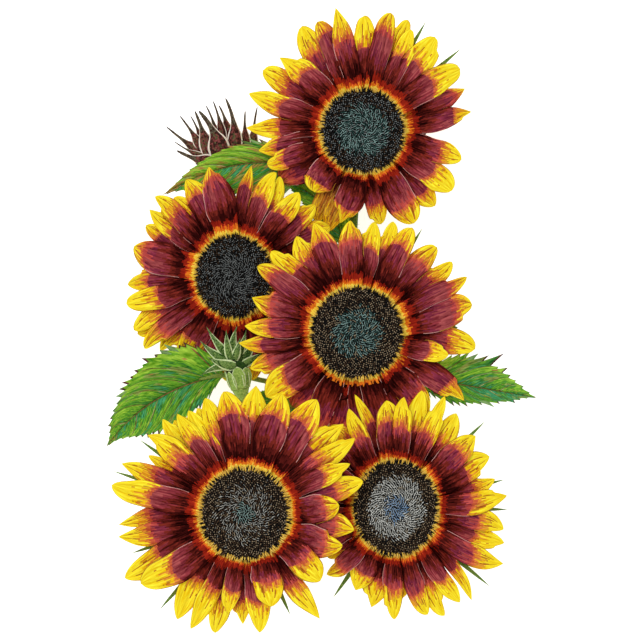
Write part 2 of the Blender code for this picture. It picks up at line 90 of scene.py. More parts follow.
# Every ray's tip in order round its head, as seen from the front: direction in degrees from +X,
# distance from the head's axis in millimetres, and the tier that the ray stands in (2 lies on top)
RAY_TIPS = {
    "top": (
        (11, 72, 1), (22, 72, 0), (33, 75, 2), (51, 77, 2), (64, 73, 2), (69, 78, 0), (77, 79, 1),
        (88, 75, 1), (102, 82, 2), (111, 77, 1), (120, 79, 0), (138, 72, 2), (148, 76, 0), (162, 78, 2),
        (179, 76, 1), (191, 69, 1), (200, 66, 2), (210, 63, 0), (231, 51, 2), (243, 66, 0), (250, 69, 0),
        (256, 62, 1), (280, 62, 0), (299, 69, 2), (314, 68, 0), (327, 70, 2), (344, 67, 1),
    ),
    "left": (
        (0, 69, 2), (14, 70, 1), (27, 70, 0), (41, 70, 1), (51, 69, 2), (64, 71, 1), (69, 73, 2),
        (80, 73, 1), (104, 73, 2), (116, 70, 1), (127, 64, 0), (134, 73, 2), (143, 70, 1), (152, 66, 0),
        (165, 68, 2), (184, 70, 1), (194, 73, 2), (208, 75, 1), (213, 75, 0), (218, 76, 2), (225, 70, 0),
        (238, 68, 2), (252, 70, 1), (266, 71, 0), (279, 70, 2), (293, 68, 1), (306, 65, 0), (320, 65, 2),
        (333, 66, 1), (347, 68, 0),
    ),
    "centre": (
        (15, 77, 1), (26, 80, 2), (36, 77, 0), (48, 76, 1), (63, 77, 2), (72, 76, 0), (82, 73, 1),
        (94, 73, 2), (111, 77, 1), (122, 74, 0), (137, 77, 1), (145, 78, 2), (162, 72, 1), (177, 73, 2),
        (186, 77, 1), (199, 73, 0), (214, 72, 2), (228, 64, 0), (246, 72, 1), (258, 68, 0), (271, 69, 1),
        (285, 70, 2), (298, 71, 0), (312, 71, 2), (329, 82, 1), (347, 61, 2), (353, 77, 0),
    ),
    "lower_right": (
        (7, 73, 2), (15, 68, 0), (29, 70, 1), (42, 70, 2), (56, 73, 0), (65, 79, 1), (76, 78, 0),
        (86, 72, 2), (94, 70, 1), (110, 78, 0), (116, 71, 2), (128, 68, 1), (140, 66, 0), (152, 65, 2),
        (164, 64, 1), (176, 62, 0), (189, 61, 2), (203, 57, 1), (216, 54, 0), (224, 62, 2), (244, 59, 1),
        (257, 66, 0), (269, 72, 2), (274, 59, 0), (286, 72, 2), (294, 77, 1), (305, 74, 2), (311, 78, 0),
        (332, 79, 2), (342, 75, 0), (350, 72, 1),
    ),
    "lower_left": (
        (5, 61, 2), (16, 79, 1), (25, 75, 2), (34, 86, 1), (43, 86, 0), (58, 87, 1), (72, 81, 2),
        (85, 83, 1), (99, 80, 2), (109, 79, 1), (114, 75, 0), (119, 76, 1), (122, 75, 0), (125, 78, 2),
        (128, 76, 0), (131, 81, 1), (140, 81, 2), (150, 73, 0), (157, 86, 1), (169, 88, 2), (186, 82, 0),
        (191, 83, 1), (209, 88, 1), (213, 81, 2), (238, 81, 0), (245, 82, 1), (255, 79, 0), (260, 65, 2),
        (268, 71, 0), (278, 77, 1), (286, 62, 2), (306, 83, 1), (318, 65, 2), (341, 66, 2), (352, 71, 1),
    ),
}

# The slender and the broad rays among them, by direction, and their share of the half width
RAY_SHARES = {
    "top": {11: 0.85, 162: 0.85, 179: 0.8, 280: 0.8, 344: 1.0},
    "left": {80: 0.62, 184: 0.95},
    "centre": {214: 1.4, 329: 1.0},
    "lower_right": {110: 0.62, 216: 0.8, 224: 0.85, 311: 0.62, 332: 0.95},
    "lower_left": {150: 0.62, 169: 1.0, 186: 0.9, 191: 0.95, 238: 1.0, 306: 0.85},
}

Bud = namedtuple("Bud", "name place turn radius depth flatness seed")
BUDS = (
    Bud("dark_bud", (-60, 108, 16.8), 103, 21, 15, 0.44, 6),
    Bud("green_bud", (-54, -33, 50), 101, 12, 11, 0.55, 8),
)
# root, control point and tip of each bract's midline, seen from the front; its half width; its height over
# the ground
BUD_BRACTS = {
    "dark_bud": (
        ((-60, 115.5), (-60, 130), (-66.5, 141), 3.6, 12),
        ((-43, 109), (-45, 122), (-41, 140), 3.4, 12),
        ((-76, 110.5), (-78.5, 123.5), (-85, 134), 2.8, 12),
        ((-75, 108.5), (-84.5, 113), (-101, 127), 4.0, 14),
        ((-76, 109), (-81, 120), (-92, 134), 3.6, 15),
        ((-67, 110.5), (-67, 127), (-75, 141), 3.2, 15),
        ((-63, 113), (-64.5, 130), (-70, 143.5), 3.2, 15),
        ((-47.5, 109), (-50, 123.5), (-49, 137), 3.4, 15),
        ((-73, 106), (-84, 108.5), (-95.5, 117), 2.4, 17),
        ((-72, 104.5), (-75.5, 122), (-82, 137), 5.0, 18),
        ((-58, 104.5), (-52, 125), (-62, 145.5), 5.4, 18),
        ((-66, 102), (-79, 103), (-94, 111), 5.6, 20),
        ((-65.5, 102.5), (-64.5, 121), (-79.5, 137), 7.5, 21),
    ),
    "green_bud": (
        ((-54, -26), (-50.5, -17.5), (-48, -6.5), 3.0, 46),
        ((-52, -28), (-45.5, -21), (-41.5, -11.5), 3.2, 46),
        ((-58, -27.5), (-69, -24), (-78, -13.5), 3.4, 49),
        ((-57, -26), (-65.5, -19), (-74, -4.5), 3.4, 49),
        ((-56.5, -26), (-58.5, -16), (-54, -4), 3.6, 49),
        ((-51.5, -30), (-44, -26), (-37.5, -21), 3.0, 49),
        ((-56.5, -30), (-67.5, -28.5), (-78, -36.5), 3.0, 51),
        ((-58, -26.5), (-61, -17), (-61, -6.5), 2.8, 52),
        ((-56, -26.5), (-53.5, -19.5), (-52, -11.5), 3.0, 52),
        ((-54.5, -30), (-63.5, -30), (-73.5, -24), 3.8, 54),
    ),
}

Leaf = namedtuple("Leaf", "name stem_end base bow tip left right bank tooth spur")
LEAVES = (
    Leaf("upper_left_leaf", (19, 48, 7), (-4, 98, 20), (-52, 113, 50), (-103, 82, 8),
         (21, 0.66), (14, 0.75), 0, 0.14, None),
    Leaf("left_leaf", (3, -46, 8), (-63, -36, 33), (-113, -45, 38), (-140, -83, 1),
         (21, 0.85), (28, 0.56), -8, 0.12, None),
    Leaf("right_leaf", (4, -70, 8), (66, -38, 46), (104, -44, 44), (142, -51, 1),
         (20, 0.66), (13, 0.56), 0, 0.2, 0.545),
    Leaf("small_right_leaf", (11, -20, 8), (46, -6, 34), (70, -3, 44), (90, -5, 43),
         (7, 1.5), (7, 1.5), 0, 0.1, None),
    Leaf("lower_middle_leaf", (3, -75, 8), (-6, -66, 16), (-24, -52, 22), (-44, -48, 12),
         (12, 0.62), (12, 0.62), 0, 0.1, None),
    Leaf("upper_middle_leaf", (18, 38, 8), (16, 50, 14), (8, 82, 22), (-30, 94, 15),
         (12, 0.62), (10, 0.62), 0, 0.1, None),
)

STEM_ROUTE = ((-14.5, -166, 5.6), (-10, -117, 5.6), (5, -62, 5.2), (13, -8, 4.7), (21, 58, 4.2))
STALK_ROUTES = {
    "top": ((21.1, 58.0, 4.2), (22.6, 76, 4.4), (26, 104, 6)),
    "left": ((16, 16, 5), (-12, 22, 5), (-40, 26, 8)),
    "centre": ((5.5, -56, 5), (14, -44, 9), (22, -24, 22)),
    "lower_right": ((-5, -98, 5), (16, -106, 12), (38, -118, 34)),
    "lower_left": ((-11.5, -128, 5), (-24, -128, 14), (-41, -126, 46)),
    "dark_bud": ((19, 42, 4.5), (-14, 64, 7), (-44, 80, 12)),
    "green_bud": ((-8, -108, 5), (-24, -92, 14), (-40, -68, 34)),
}

# ---------------- how fine the pieces are
RAY_ROWS, RAY_COLUMNS, RAY_UNDER_COLUMNS = 60, 26, 6
RAY_THICKNESS = 0.35
RAY_SKINS = 14  # patterns dealt out among the rays, each border place in a dark and a bright skin: painted shade and painted light
RAY_BORDERS = (0.47, 0.85)  # where the first and the last skins turn from wine to yellow
RAY_USUAL = 42  # length that the patterns are drawn for
RAY_TUCK = 2.5  # how far a ray's base runs in under the disc's rim
RAY_FOOT = 0.74  # a ray's width at its foot, as a share of its full width
RAY_TAPER, RAY_HOOK_FROM = 0.6, 0.72  # where along a ray its tip starts to narrow and to turn aside
SLIM_POINT = 0.9  # how sharp the slim rays' tips are, from blunt 0 to sharp 1
SKIRT_RAYS = 20  # short dark rays in the shade under the others, their dark painted shade
SKIRT_REACH, SKIRT_TIER, SKIRT_ROOM = 15, -3.2, 1.1
SKIRT_ROWS, SKIRT_COLUMNS = 16, 8
SKIRT_SKIN, GOLDEN_SKIN, DUSKY_SKIN, UNDER_SKIN = range(RAY_SKINS, RAY_SKINS + 4)  # after the dealt ones
RAY_MAP_SLOTS = RAY_SKINS + 4
FLORETS = 1500  # on each disc
GOLDEN_ANGLE = math.pi * (3 - math.sqrt(5))
BRACT_ROWS, BRACT_COLUMNS = 20, 10
BUD_ROWS, BUD_COLUMNS = 30, 16
AXIS = 0.02  # radius that a turned shape closes to
TIP = 0.06  # half width that a blade closes to

# Where the layout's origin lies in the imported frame, read from the top disc, whose head doesn't lean
disc_low, disc_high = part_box("top_disc")
SHIFT = np.array([
    (disc_low.x + disc_high.x) / 2 / MM - HEADS[0].place[0],
    (disc_low.y + disc_high.y) / 2 / MM - HEADS[0].place[1],
    disc_low.z / MM - (HEADS[0].place[2] - RING_HEIGHT),
])


# ---------------- meshes from arrays
class Weave:
    """Collects points and faces, and makes one mesh with a finish and a map place for every face."""

    def __init__(self):
        self.points, self.faces, self.finishes, self.places, self.total = [], [], [], [], 0

    def add_points(self, points):
        """Adds the points and gives the number of the first."""
        points = np.asarray(points, float).reshape(-1, 3)
        self.points.append(points)
        self.total += len(points)
        return self.total - len(points)

    def add_faces(self, faces, finish, places=None):
        """faces: (n, corners) numbers of points; finish: one or n numbers; places: (n, corners, 2)."""
        faces = np.atleast_2d(faces)
        self.faces.append(faces)
        self.finishes.append(np.broadcast_to(np.reshape(finish, -1), len(faces)))
        self.places.append(np.zeros(faces.shape + (2,)) if places is None else places)

    def add_grid(self, grid, finish, places):
        """Quads between the rows and columns of a grid of point numbers."""
        quads = [
            np.stack([part[:-1, :-1], part[1:, :-1], part[1:, 1:], part[:-1, 1:]], axis=2)
            for part in (grid, places)
        ]
        self.add_faces(quads[0].reshape(-1, 4), finish, quads[1].reshape(-1, 4, 2))

    def add_copies(self, faces, finishes, copies):
        """A small shape's faces for each of its copies: finishes (n, faces), copies (n, points, 3)."""
        starts = self.add_points(copies) + np.arange(len(copies))[:, None, None] * copies.shape[1]
        self.add_faces((faces[None] + starts).reshape(-1, 4), finishes)

    def add_turned(self, profile, sides, where, finish):
        """A turned body, by the radius and height of its rings."""
        points, faces, _ = ring_shape(profile, sides)
        self.add_faces(faces + self.add_points(placed(points, where)), finish)

    def make(self, name, materials, mapped=False, sharp=None):
        mesh = bpy.data.meshes.new(name)
        points = (np.concatenate(self.points) + SHIFT) * MM
        mesh.vertices.add(len(points))
        mesh.vertices.foreach_set("co", points.astype(np.float32).ravel())
        sizes = np.concatenate([np.full(len(faces), faces.shape[1]) for faces in self.faces])
        corners = np.concatenate([faces.ravel() for faces in self.faces])
        mesh.loops.add(len(corners))
        mesh.loops.foreach_set("vertex_index", corners.astype(np.int32))
        mesh.polygons.add(len(sizes))
        mesh.polygons.foreach_set("loop_start", (np.cumsum(sizes) - sizes).astype(np.int32))
        mesh.polygons.foreach_set("material_index", np.concatenate(self.finishes).astype(np.int32))
        mesh.update(calc_edges=True)
        if mapped:
            places = np.concatenate([place.reshape(-1, 2) for place in self.places])
            mesh.uv_layers.new(name=MAP).uv.foreach_set("vector", places.astype(np.float32).ravel())
        mesh.validate()
        mesh.shade_smooth()
        if sharp:
            mesh.set_sharp_from_angle(angle=math.radians(sharp))
        for material in materials:
            mesh.materials.append(material)
        return linked(name, mesh)


def linked(name, data):
    """A new object of the scene that shows the mesh, light, camera or curve."""
    made = bpy.data.objects.new(name, data)
    bpy.context.scene.collection.objects.link(made)
    return made


def numbers(first, rows, columns):
    return first + np.arange(rows * columns).reshape(rows, columns)


def ring_shape(profile, sides):
    """Points and quads of a turned shape, with the ring number of every quad."""
    turn = np.arange(sides) * 2 * math.pi / sides
    points = np.array([(r * np.cos(turn), r * np.sin(turn), np.full(sides, h)) for r, h in profile])
    rings = np.repeat(np.arange(len(profile) - 1), sides)
    return points.transpose(0, 2, 1).reshape(-1, 3), ring_faces(len(profile), sides), rings


def ring_faces(rings, sides):
    """Quads between rings of points that are numbered ring by ring."""
    grid = numbers(0, rings, sides)
    after = np.roll(grid, -1, axis=1)
    return np.stack([grid[:-1], after[:-1], after[1:], grid[1:]], axis=-1).reshape(-1, 4)


def unit(vectors):
    return vectors / np.linalg.norm(vectors, axis=-1, keepdims=True)


def smooth(x):
    x = np.clip(x, 0.0, 1.0)
    return x * x * (3 - 2 * x)


def middles(values):
    return (values[1:] + values[:-1]) / 2


def placed(points, matrix):
    matrix = np.array(matrix)
    return points @ matrix[:3, :3].T + matrix[:3, 3]


def spin(angle):
    return Matrix.Rotation(math.radians(angle), 4, "Z")


def turned(shape, front, side, up):
    """Copies of the shape's points with +X, +Y and +Z along each copy's own vectors."""
    return shape[..., :1] * front[:, None] + shape[..., 1:2] * side[:, None] + shape[..., 2:] * up[:, None]


def upright(shape, size, feet, axis, toward):
    """Copies of an upright shape on their feet, each along its axis, with +X towards the last vectors."""
    side = unit(np.cross(axis, toward))
    return feet[:, None] + turned(shape[None] * size[:, None, None], np.cross(side, axis), side, axis)


def wander(chance, rows, columns, row_grain, column_grain):
    """Soft noise between about -1 and 1 on a grid, with its own grain along rows and columns."""
    coarse = chance.uniform(-1, 1, (int(rows / row_grain) + 3, int(columns / column_grain) + 3))
    r, c = np.arange(rows) / row_grain, np.arange(columns) / column_grain
    i, j = r.astype(int), c.astype(int)
    f, g = smooth(r - i)[:, None], smooth(c - j)[None]
    low, high = (coarse[np.ix_(k, j)] * (1 - g) + coarse[np.ix_(k, j + 1)] * g for k in (i, i + 1))
    return low * (1 - f) + high * f


# ---------------- blades: rays, bracts and leaves
def blade_across(columns):
    """Places of a blade's columns from -1 to 1, closer together at its sides."""
    even = np.linspace(-1, 1, columns + 1)
    return 0.6 * even + 0.4 * np.sin(even * math.pi / 2)


def face_shares(rows, columns):
    """Shares along and across a blade for the middles of its faces, as a column and a row."""
    return middles(np.linspace(0, 1, rows + 1))[:, None], middles(blade_across(columns))[None]


def map_places(low, width, u, rows):
    """Map places of a grid of points, by column from -1 to 1 and by row."""
    return np.stack(np.meshgrid(low + width * (u + 1) / 2, rows), axis=-1)


def sloping(rise):
    """Unit vectors along a blade that rises away from its root, and out of its face."""
    return np.array((math.cos(rise), 0, math.sin(rise))), np.array((-math.sin(rise), 0, math.cos(rise)))


def half_widths(v, outline, half_width):
    """Half widths at the places v, by an outline of places and shares whose corners are rounded off."""
    half = np.interp(v, *zip(*outline)) * half_width
    half = np.convolve(np.pad(half, 1, mode="edge"), (0.25, 0.5, 0.25), mode="valid")
    half[-1] = TIP
    return half


def surface(path, left, right, relief, twist, across):
    """Points of a blade round a path: half widths and twist by row, relief by row and column."""
    tangent = unit(np.gradient(path, axis=0))
    side = unit(np.cross((0.0, 0.0, 1.0), tangent))
    normal = np.cross(tangent, side)
    turn = twist[:, None]
    side, normal = side * np.cos(turn) + normal * np.sin(turn), normal * np.cos(turn) - side * np.sin(turn)
    half = np.where(across[None] > 0, left[:, None], right[:, None]) * across[None]
    return path[:, None] + half[..., None] * side[:, None] + relief[..., None] * normal[:, None]


def add_lens(weave, upper, lower, finish, under_finish, upper_map, lower_map):
    """Closed thin blade of two grids of points that share their side edges and are capped at both ends."""
    rows, columns = upper.shape[:2]
    top = numbers(weave.add_points(upper), rows, columns)
    inner = numbers(weave.add_points(lower[:, 1:-1]), rows, lower.shape[1] - 2)
    base = np.hstack([top[:, :1], inner, top[:, -1:]])
    weave.add_grid(top, finish, upper_map)
    weave.add_grid(base[:, ::-1], under_finish, lower_map[:, ::-1])
    for row, order in ((0, -1), (-1, 1)):
        cap = np.concatenate([base[row, ::order], top[row, ::-order][1:-1]])
        weave.add_faces(cap, finish[row, row], np.tile(upper_map[row, 0], (1, len(cap), 1)))


def add_leaflet(weave, where, path, half, relief, twist, thickness, finish):
    """Bract round a path, with the same columns and finish on both sides."""
    across = blade_across(finish.shape[1])
    upper, lower = (
        placed(surface(path, half, half, relief(across) - sink, twist, across), where)
        for sink in (0.0, thickness)
    )
    places = map_places(0.0, 1.0, across, np.linspace(0, 1, len(path)))
    add_lens(weave, upper, lower, finish, finish[:, ::-1], places, places)


# ---------------- materials
ROUGHNESS_SWING = 0.12  # how far the dark and the light parts differ from a finish's roughness
BUMP_DEPTH = 0.3 * MM
FINE_GRAIN = (900.0, 900.0, 900.0)


def shader_colour(colour):
    """A colour given as it looks on a screen, 0 to 255, as shader values."""
    shares = (channel / 255 for channel in colour)
    return tuple(c / 12.92 if c <= 0.04045 else ((c + 0.055) / 1.055) ** 2.4 for c in shares) + (1.0,)


def wire(tree, node, inputs):
    """Sets a node's inputs by name: an output of another node is linked, anything else is the value."""
    for name, value in inputs.items():
        if isinstance(value, bpy.types.NodeSocket):
            tree.links.new(value, node.inputs[name])
        else:
            node.inputs[name].default_value = value
    return node


def pattern(name, darks, lights, grain, mapped=False, roughness=0.6, bump=0.3, spread=0.22, sheen=0.0,
            specular=0.03):
    """Finish whose colour runs from dark to light over a drawn-out noise, in the piece's map or in space."""
    material = bpy.data.materials.new(name)
    material.use_nodes = True
    tree = material.node_tree

    def add(kind, output, inputs):
        return wire(tree, tree.nodes.new("ShaderNode" + kind), inputs).outputs[output]

    place = add("UVMap", "UV", {}) if mapped else add("TexCoord", "Object", {})
    if mapped:
        place.node.uv_map = MAP
    place = add("Mapping", "Vector", {"Vector": place, "Scale": grain})
    noise = add("TexNoise", "Fac", {"Vector": place, "Scale": 1.0, "Detail": 4.0, "Roughness": 0.62})
    colour = add("ValToRGB", "Color", {"Fac": noise})
    for stop, aside, look in zip(colour.node.color_ramp.elements, (-spread, spread), (darks, lights)):
        stop.position, stop.color = 0.5 + aside, shader_colour(look)
    wire(tree, tree.nodes["Principled BSDF"], {
        "Base Color": colour,
        "Roughness": add("MapRange", "Result", {
            "Value": noise, "To Min": roughness + ROUGHNESS_SWING, "To Max": roughness - ROUGHNESS_SWING,
        }),
        "Normal": add("Bump", "Normal", {"Height": noise, "Strength": bump, "Distance": BUMP_DEPTH}),
        "Specular IOR Level": specular,
        "Sheen Weight": sheen,
    })
    return material


def finishes(kind, tones, grain=FINE_GRAIN, **looks):
    """A material for each named pair of tones, in their order."""
    return [pattern(f"{kind}_{name}", *pair, grain, **looks) for name, pair in tones.items()]


def numbered(tones):
    return {name: number for number, name in enumerate(tones)}


def chosen(spans, table, names):
    """The finish of every face by the number of the span that it falls in, one name for each span."""
    return np.choose(spans, [table[name] for name in names.split()])


def painted(zones, table, *layers):
    """The zones with each layer's named finish laid over them in turn, where its mask is true."""
    for mask, name in layers:
        zones = np.where(mask, table[name], zones)
    return zones


# ---------------- ray florets
# every finish: its dark and its light tone, 0 to 255
RAY_ZONES = {
    "base_yellow": ((240, 174, 22), (255, 234, 96)),
    "ember": ((198, 78, 14), (244, 146, 42)),
    "scarlet": ((158, 32, 12), (226, 84, 40)),
    "glow": ((98, 12, 8), (166, 44, 26)),
    "black": ((16, 3, 2), (60, 15, 14)),
    "maroon": ((32, 6, 5), (100, 30, 26)),
    "wine": ((56, 12, 10), (138, 48, 38)),
    "claret": ((82, 18, 28), (158, 62, 69)),
    "plum": ((80, 18, 36), (152, 58, 78)),
    "mauve": ((106, 32, 40), (180, 88, 88)),
    "crimson": ((134, 36, 38), (204, 88, 80)),
    "flame": ((156, 54, 34), (222, 114, 72)),
    "orange": ((188, 100, 26), (242, 166, 64)),
    "yellow": ((226, 180, 0), (255, 246, 60)),
    "gold": ((212, 150, 2), (250, 214, 38)),
    "vein": ((132, 66, 16), (206, 130, 46)),
    # edge: a pale rim line, laid on the lit side of the dealt rays as a painted highlight
    "edge": ((184, 112, 108), (240, 186, 176)),
    "bronze": ((96, 46, 20), (158, 98, 42)),
    "ochre": ((164, 108, 24), (216, 166, 58)),
    "under": ((186, 110, 36), (240, 190, 70)),
}
ZONE = numbered(RAY_ZONES)
RayLook = namedtuple("RayLook", "first last bright pointed early late golden dusky slim")
# first, last: places in RAY_BORDERS' steps that are dealt out; bright: share of the rays that stand in the
# light and get the skin with painted light; pointed: from blunt 0 to sharp 1; early, late, golden, dusky:
# directions of the rays that turn yellow a step earlier or later, and of those with a pattern of their own,
# the dusky ones darkened with painted shade; slim: of those that taper to a narrow tip
RAY_LOOKS = {
    "top": RayLook(3, 5, 0.35, 0.1, (33, 51, 64, 69, 88, 138, 162, 179, 327), (111, 22), (243, 250), (210,),
                   (11, 22, 102, 138, 162, 179, 191, 256)),
    "left": RayLook(3, 5, 0.15, 0.25, (51, 64, 69, 127, 143, 194, 238), (104, 165), (), (), (80, 104, 143)),
    "centre": RayLook(3, 4, 0.4, 0.3, (72, 82, 137, 214, 347), (15, 26, 145, 329), (),
                      (228, 246, 258, 271, 285), (111, 162, 177, 186, 298, 312, 329)),
    "lower_right": RayLook(1, 3, 0.6, 0.5, (65, 76), (224,), (), (),
                           (7, 42, 110, 152, 176, 203, 244, 257, 332)),
    "lower_left": RayLook(1, 3, 0.45, 0.45, (114, 119, 122, 128, 131, 238, 245), (5, 58, 72, 99, 341, 352),
                          (), (), (43, 85, 140, 157, 186, 191, 245, 268, 306)),
}


def ray_grains(seed):
    """Shares along and across a ray's faces, and three noises over them: broad, fine and ragged streaks."""
    chance = np.random.default_rng(seed)
    noises = [wander(chance, RAY_ROWS, RAY_COLUMNS, *grain) for grain in ((20, 1.8), (6, 1.0), (9, 1.0))]
    return chance, *face_shares(RAY_ROWS, RAY_COLUMNS), *noises


def dealt_zones(skin):
    """The finish of every face on a ray's upper side, by row and column, for one of the ray skins."""
    chance, along, across, streak, fine, jag = ray_grains(100 + skin)
    tint = wander(chance, RAY_ROWS, RAY_COLUMNS, 16, 7)
    lit_side = chance.choice((-1, 1))
    fold = 0.38 + chance.uniform(-0.06, 0.06)
    on_fold = np.abs(np.abs(across) - fold)
    pleat = np.sin(math.pi * (across * chance.uniform(2.6, 3.4) + chance.uniform(-0.3, 0.3)))

    # The odd skins are the bright ones: the whole pattern painted lighter, as painted light.
    red = (0.2 if skin % 2 else 0.0) + 0.9 * smooth((along - 0.1) / 0.55) + 0.14 * streak + 0.12 * fine
    red += 0.14 * (1 - skin / RAY_SKINS)
    # Painted light and shade across the ray: lighter towards its lit side, darker at the edge of its shaded
    # side.
    red += lit_side * across * chance.uniform(0.08, 0.24) - 0.25 * smooth((-lit_side * across - 0.6) / 0.4)
    red += 0.1 * np.exp(-((on_fold / 0.12) ** 2)) - 0.12 * np.exp(-((across / 0.1) ** 2))
    red += 0.16 * (pleat < -0.93) - 0.26 * (pleat > 0.92) * (fine > -0.4)
    spans = np.digitize(red, (0.28, 0.5, 0.76, 1.04))

    border = np.interp(skin // 2, (0, RAY_SKINS // 2 - 1), RAY_BORDERS) + 0.05 * jag
    border = border + chance.uniform(0.0, 0.1) * (0.6 - across**2) - 0.03 * lit_side * across
    past = along - border
    # The tip is painted yellower on its lit side and more orange on its shaded side: painted light and shade.
    light = 0.26 + 0.5 * jag + 0.3 * lit_side * across + 1.8 * past
    rim = np.abs(across) > 0.94
    tip = painted(
        ZONE["orange"], ZONE,
        (light > -0.1, "gold"),
        (light > 0.15, "yellow"),
        ((past < 0.12) & (fine > 0.4), "ochre"),
        ((np.abs(across) < 0.1) & (past < chance.uniform(0.06, 0.2)), "gold"),
        ((on_fold < 0.05) & (past < chance.uniform(0.16, 0.3)) & (jag > -0.55), "vein"),
        ((past < 0.16) & (pleat > 0.93) & (fine > -0.1), "vein"),
        (past < 0.04 + 0.06 * jag, "orange"),
        (rim, "gold"),
        (rim & (jag > -0.2), "vein"),
    )
    warm = chance.uniform(0.03, 0.13)
    body = painted(
        chosen(spans, ZONE, "black maroon wine claret mauve"), ZONE,
        ((spans == 3) & (tint > 0.1), "plum"),
        ((past > -warm * (1 + 1.4 * jag)) & (spans > 1), "crimson"),
        (past > -0.045 * (1 + jag), "flame"),
        # The rim is painted maroon as shade, and on the lit side mostly the pale edge as a painted highlight.
        (rim, "maroon"),
        (rim & (across * lit_side > 0) & (fine > -0.5), "edge"),
    )
    base = np.interp(skin, (0, RAY_SKINS - 1), (0.03, 0.095)) + 0.03 * jag
    halo = np.interp(skin, (0, RAY_SKINS - 1), (0.03, 0.055)) + chance.uniform(0, 0.03)
    glow = along < base + halo + chance.uniform(0.04, 0.1) + 0.05 * streak
    return rooted(painted(np.where(past > 0, tip, body), ZONE, (glow, "glow")), along, streak, base, halo)


def rooted(zones, along, streak, base, halo):
    """The zones with the yellow ring at a ray's base and the red halo past it."""
    return painted(
        zones, ZONE,
        (along < base + halo, "scarlet"),
        (along < 1.6 * base + 0.02 * streak, "ember"),
        (along < base, "base_yellow"),
    )


def golden_zones():
    """A ray seen from its golden-brown side, without any wine."""
    _, along, across, streak, fine, jag = ray_grains(90)
    pale = 1.05 * along + 0.2 * streak + 0.12 * jag + 0.1 * np.abs(across)
    zones = chosen(np.digitize(pale, (0.34, 0.62, 0.9, 1.1)), ZONE, "maroon bronze ochre gold yellow")
    zones = painted(zones, ZONE, ((np.abs(across) > 0.93) | ((fine > 0.5) & (along > 0.5)), "vein"))
    return rooted(zones, along, streak, 0.08 + 0.03 * jag, 0.05)


def dusky_zones():
    """A ray in the shade of its neighbours, with that shade painted in: dark, then crimson, and bronze
    instead of yellow at its tip.
    """
    _, along, across, streak, fine, jag = ray_grains(91)
    red = 1.15 * along + 0.16 * streak + 0.1 * fine
    spans = np.digitize(red, (0.3, 0.42, 0.62, 0.82, 1.02))
    rim = np.abs(across) > 0.94
    zones = painted(
        chosen(spans, ZONE, "black maroon wine plum crimson flame"), ZONE,
        (along > 0.93 + 0.06 * jag, "bronze"), (rim, "maroon"), (rim & (fine > 0), "edge"),
    )
    return rooted(zones, along, streak, 0.07 + 0.03 * jag, 0.05)


def shaded_zones():
    """The finish of the faces of the short rays in the shade under the others: black and maroon painted shade
    past their yellow and red roots.
    """
    along, _ = face_shares(SKIRT_ROWS, SKIRT_COLUMNS)
    streak = wander(np.random.default_rng(99), SKIRT_ROWS, SKIRT_COLUMNS, 5, 1.0)
    return painted(
        ZONE["black"], ZONE,
        (streak + along > 0.9, "maroon"),
        (along < 0.62 + 0.12 * streak, "glow"),
        (along < 0.42 + 0.1 * streak, "scarlet"),
        (along < 0.22 + 0.08 * streak, "base_yellow"),
    )


def head_frame(head):
    turn = math.radians(head.lean_to)
    tilt = Matrix.Rotation(math.radians(head.lean), 4, Vector((-math.sin(turn), math.cos(turn), 0)))
    return Matrix.Translation(head.place) @ tilt @ Matrix.Diagonal((head.oval, 1, 1, 1))


def on_face(head, direction, reach):
    """Direction in degrees and distance on the head's own face of a place seen from the front."""
    turn = math.radians(direction)
    place = complex(reach * math.cos(turn) / head.oval, reach * math.sin(turn))
    return math.degrees(cmath.phase(place)) % 360, abs(place)


def ray_places(head):
    """Each ray's drawn direction, root and tip directions and reach on the face, tier, share of width."""
    tips = [on_face(head, direction, reach) for direction, reach, _ in RAY_TIPS[head.name]]
    for index, (direction, _, tier) in enumerate(RAY_TIPS[head.name]):
        tip, reach = tips[index]
        before = (tip - tips[index - 1][0]) % 360
        after = (tips[(index + 1) % len(tips)][0] - tip) % 360
        room = min(max((before + after) / 2 * len(tips) / 360, RAY_ROOM[0]), RAY_ROOM[1])
        room = RAY_SHARES[head.name].get(direction, room)
        yield direction, tip + (after - before) / 3, tip, reach, tier, room


def ray_ring(head, skins):
    """All ray florets of a head, at its solid's places and reaches, over a skirt of short dark ones."""
    weave = Weave()
    here = head_frame(head)
    deal = random.Random(head.seed)
    chance = np.random.default_rng(head.seed)
    start = head.disc_radius + 0.3 + RING_WALL / 2
    look = RAY_LOOKS[head.name]
    for direction, root, tip, reach, tier, room in ray_places(head):
        swing = math.radians(tip - root)
        length = reach * math.cos(swing) - start
        bend = reach * math.sin(swing) / length
        curl = RAY_CURL + deal.uniform(-RAY_LIFT_JITTER, RAY_LIFT_JITTER)
        # Rays in higher tiers get the bright skin more often: painted light on the rays that lie on top.
        bright = int(chance.uniform() < look.bright * (0.4 + 0.6 * tier))
        step = int(chance.integers(look.first, look.last + 1))
        if direction in look.early:
            step = look.first - 1
        elif direction in look.late:
            step = look.last + 1
        skin = 2 * step + bright
        if direction in look.golden:
            skin = GOLDEN_SKIN
        elif direction in look.dusky:
            skin = DUSKY_SKIN
        shape = (length, bend, curl, room, SLIM_POINT if direction in look.slim else look.pointed)
        add_ray(weave, chance, here @ spin(root), (start, RAY_TIERS[tier]), shape, skin, skins[skin])
    for index in range(SKIRT_RAYS):
        where = here @ spin((index + chance.uniform(-0.3, 0.3)) * 360 / SKIRT_RAYS)
        shape = (SKIRT_REACH * chance.uniform(0.8, 1.1), 0.0, RAY_CURL, SKIRT_ROOM, look.pointed)
        add_ray(weave, chance, where, (start, SKIRT_TIER), shape, SKIRT_SKIN, skins[SKIRT_SKIN])
    return weave


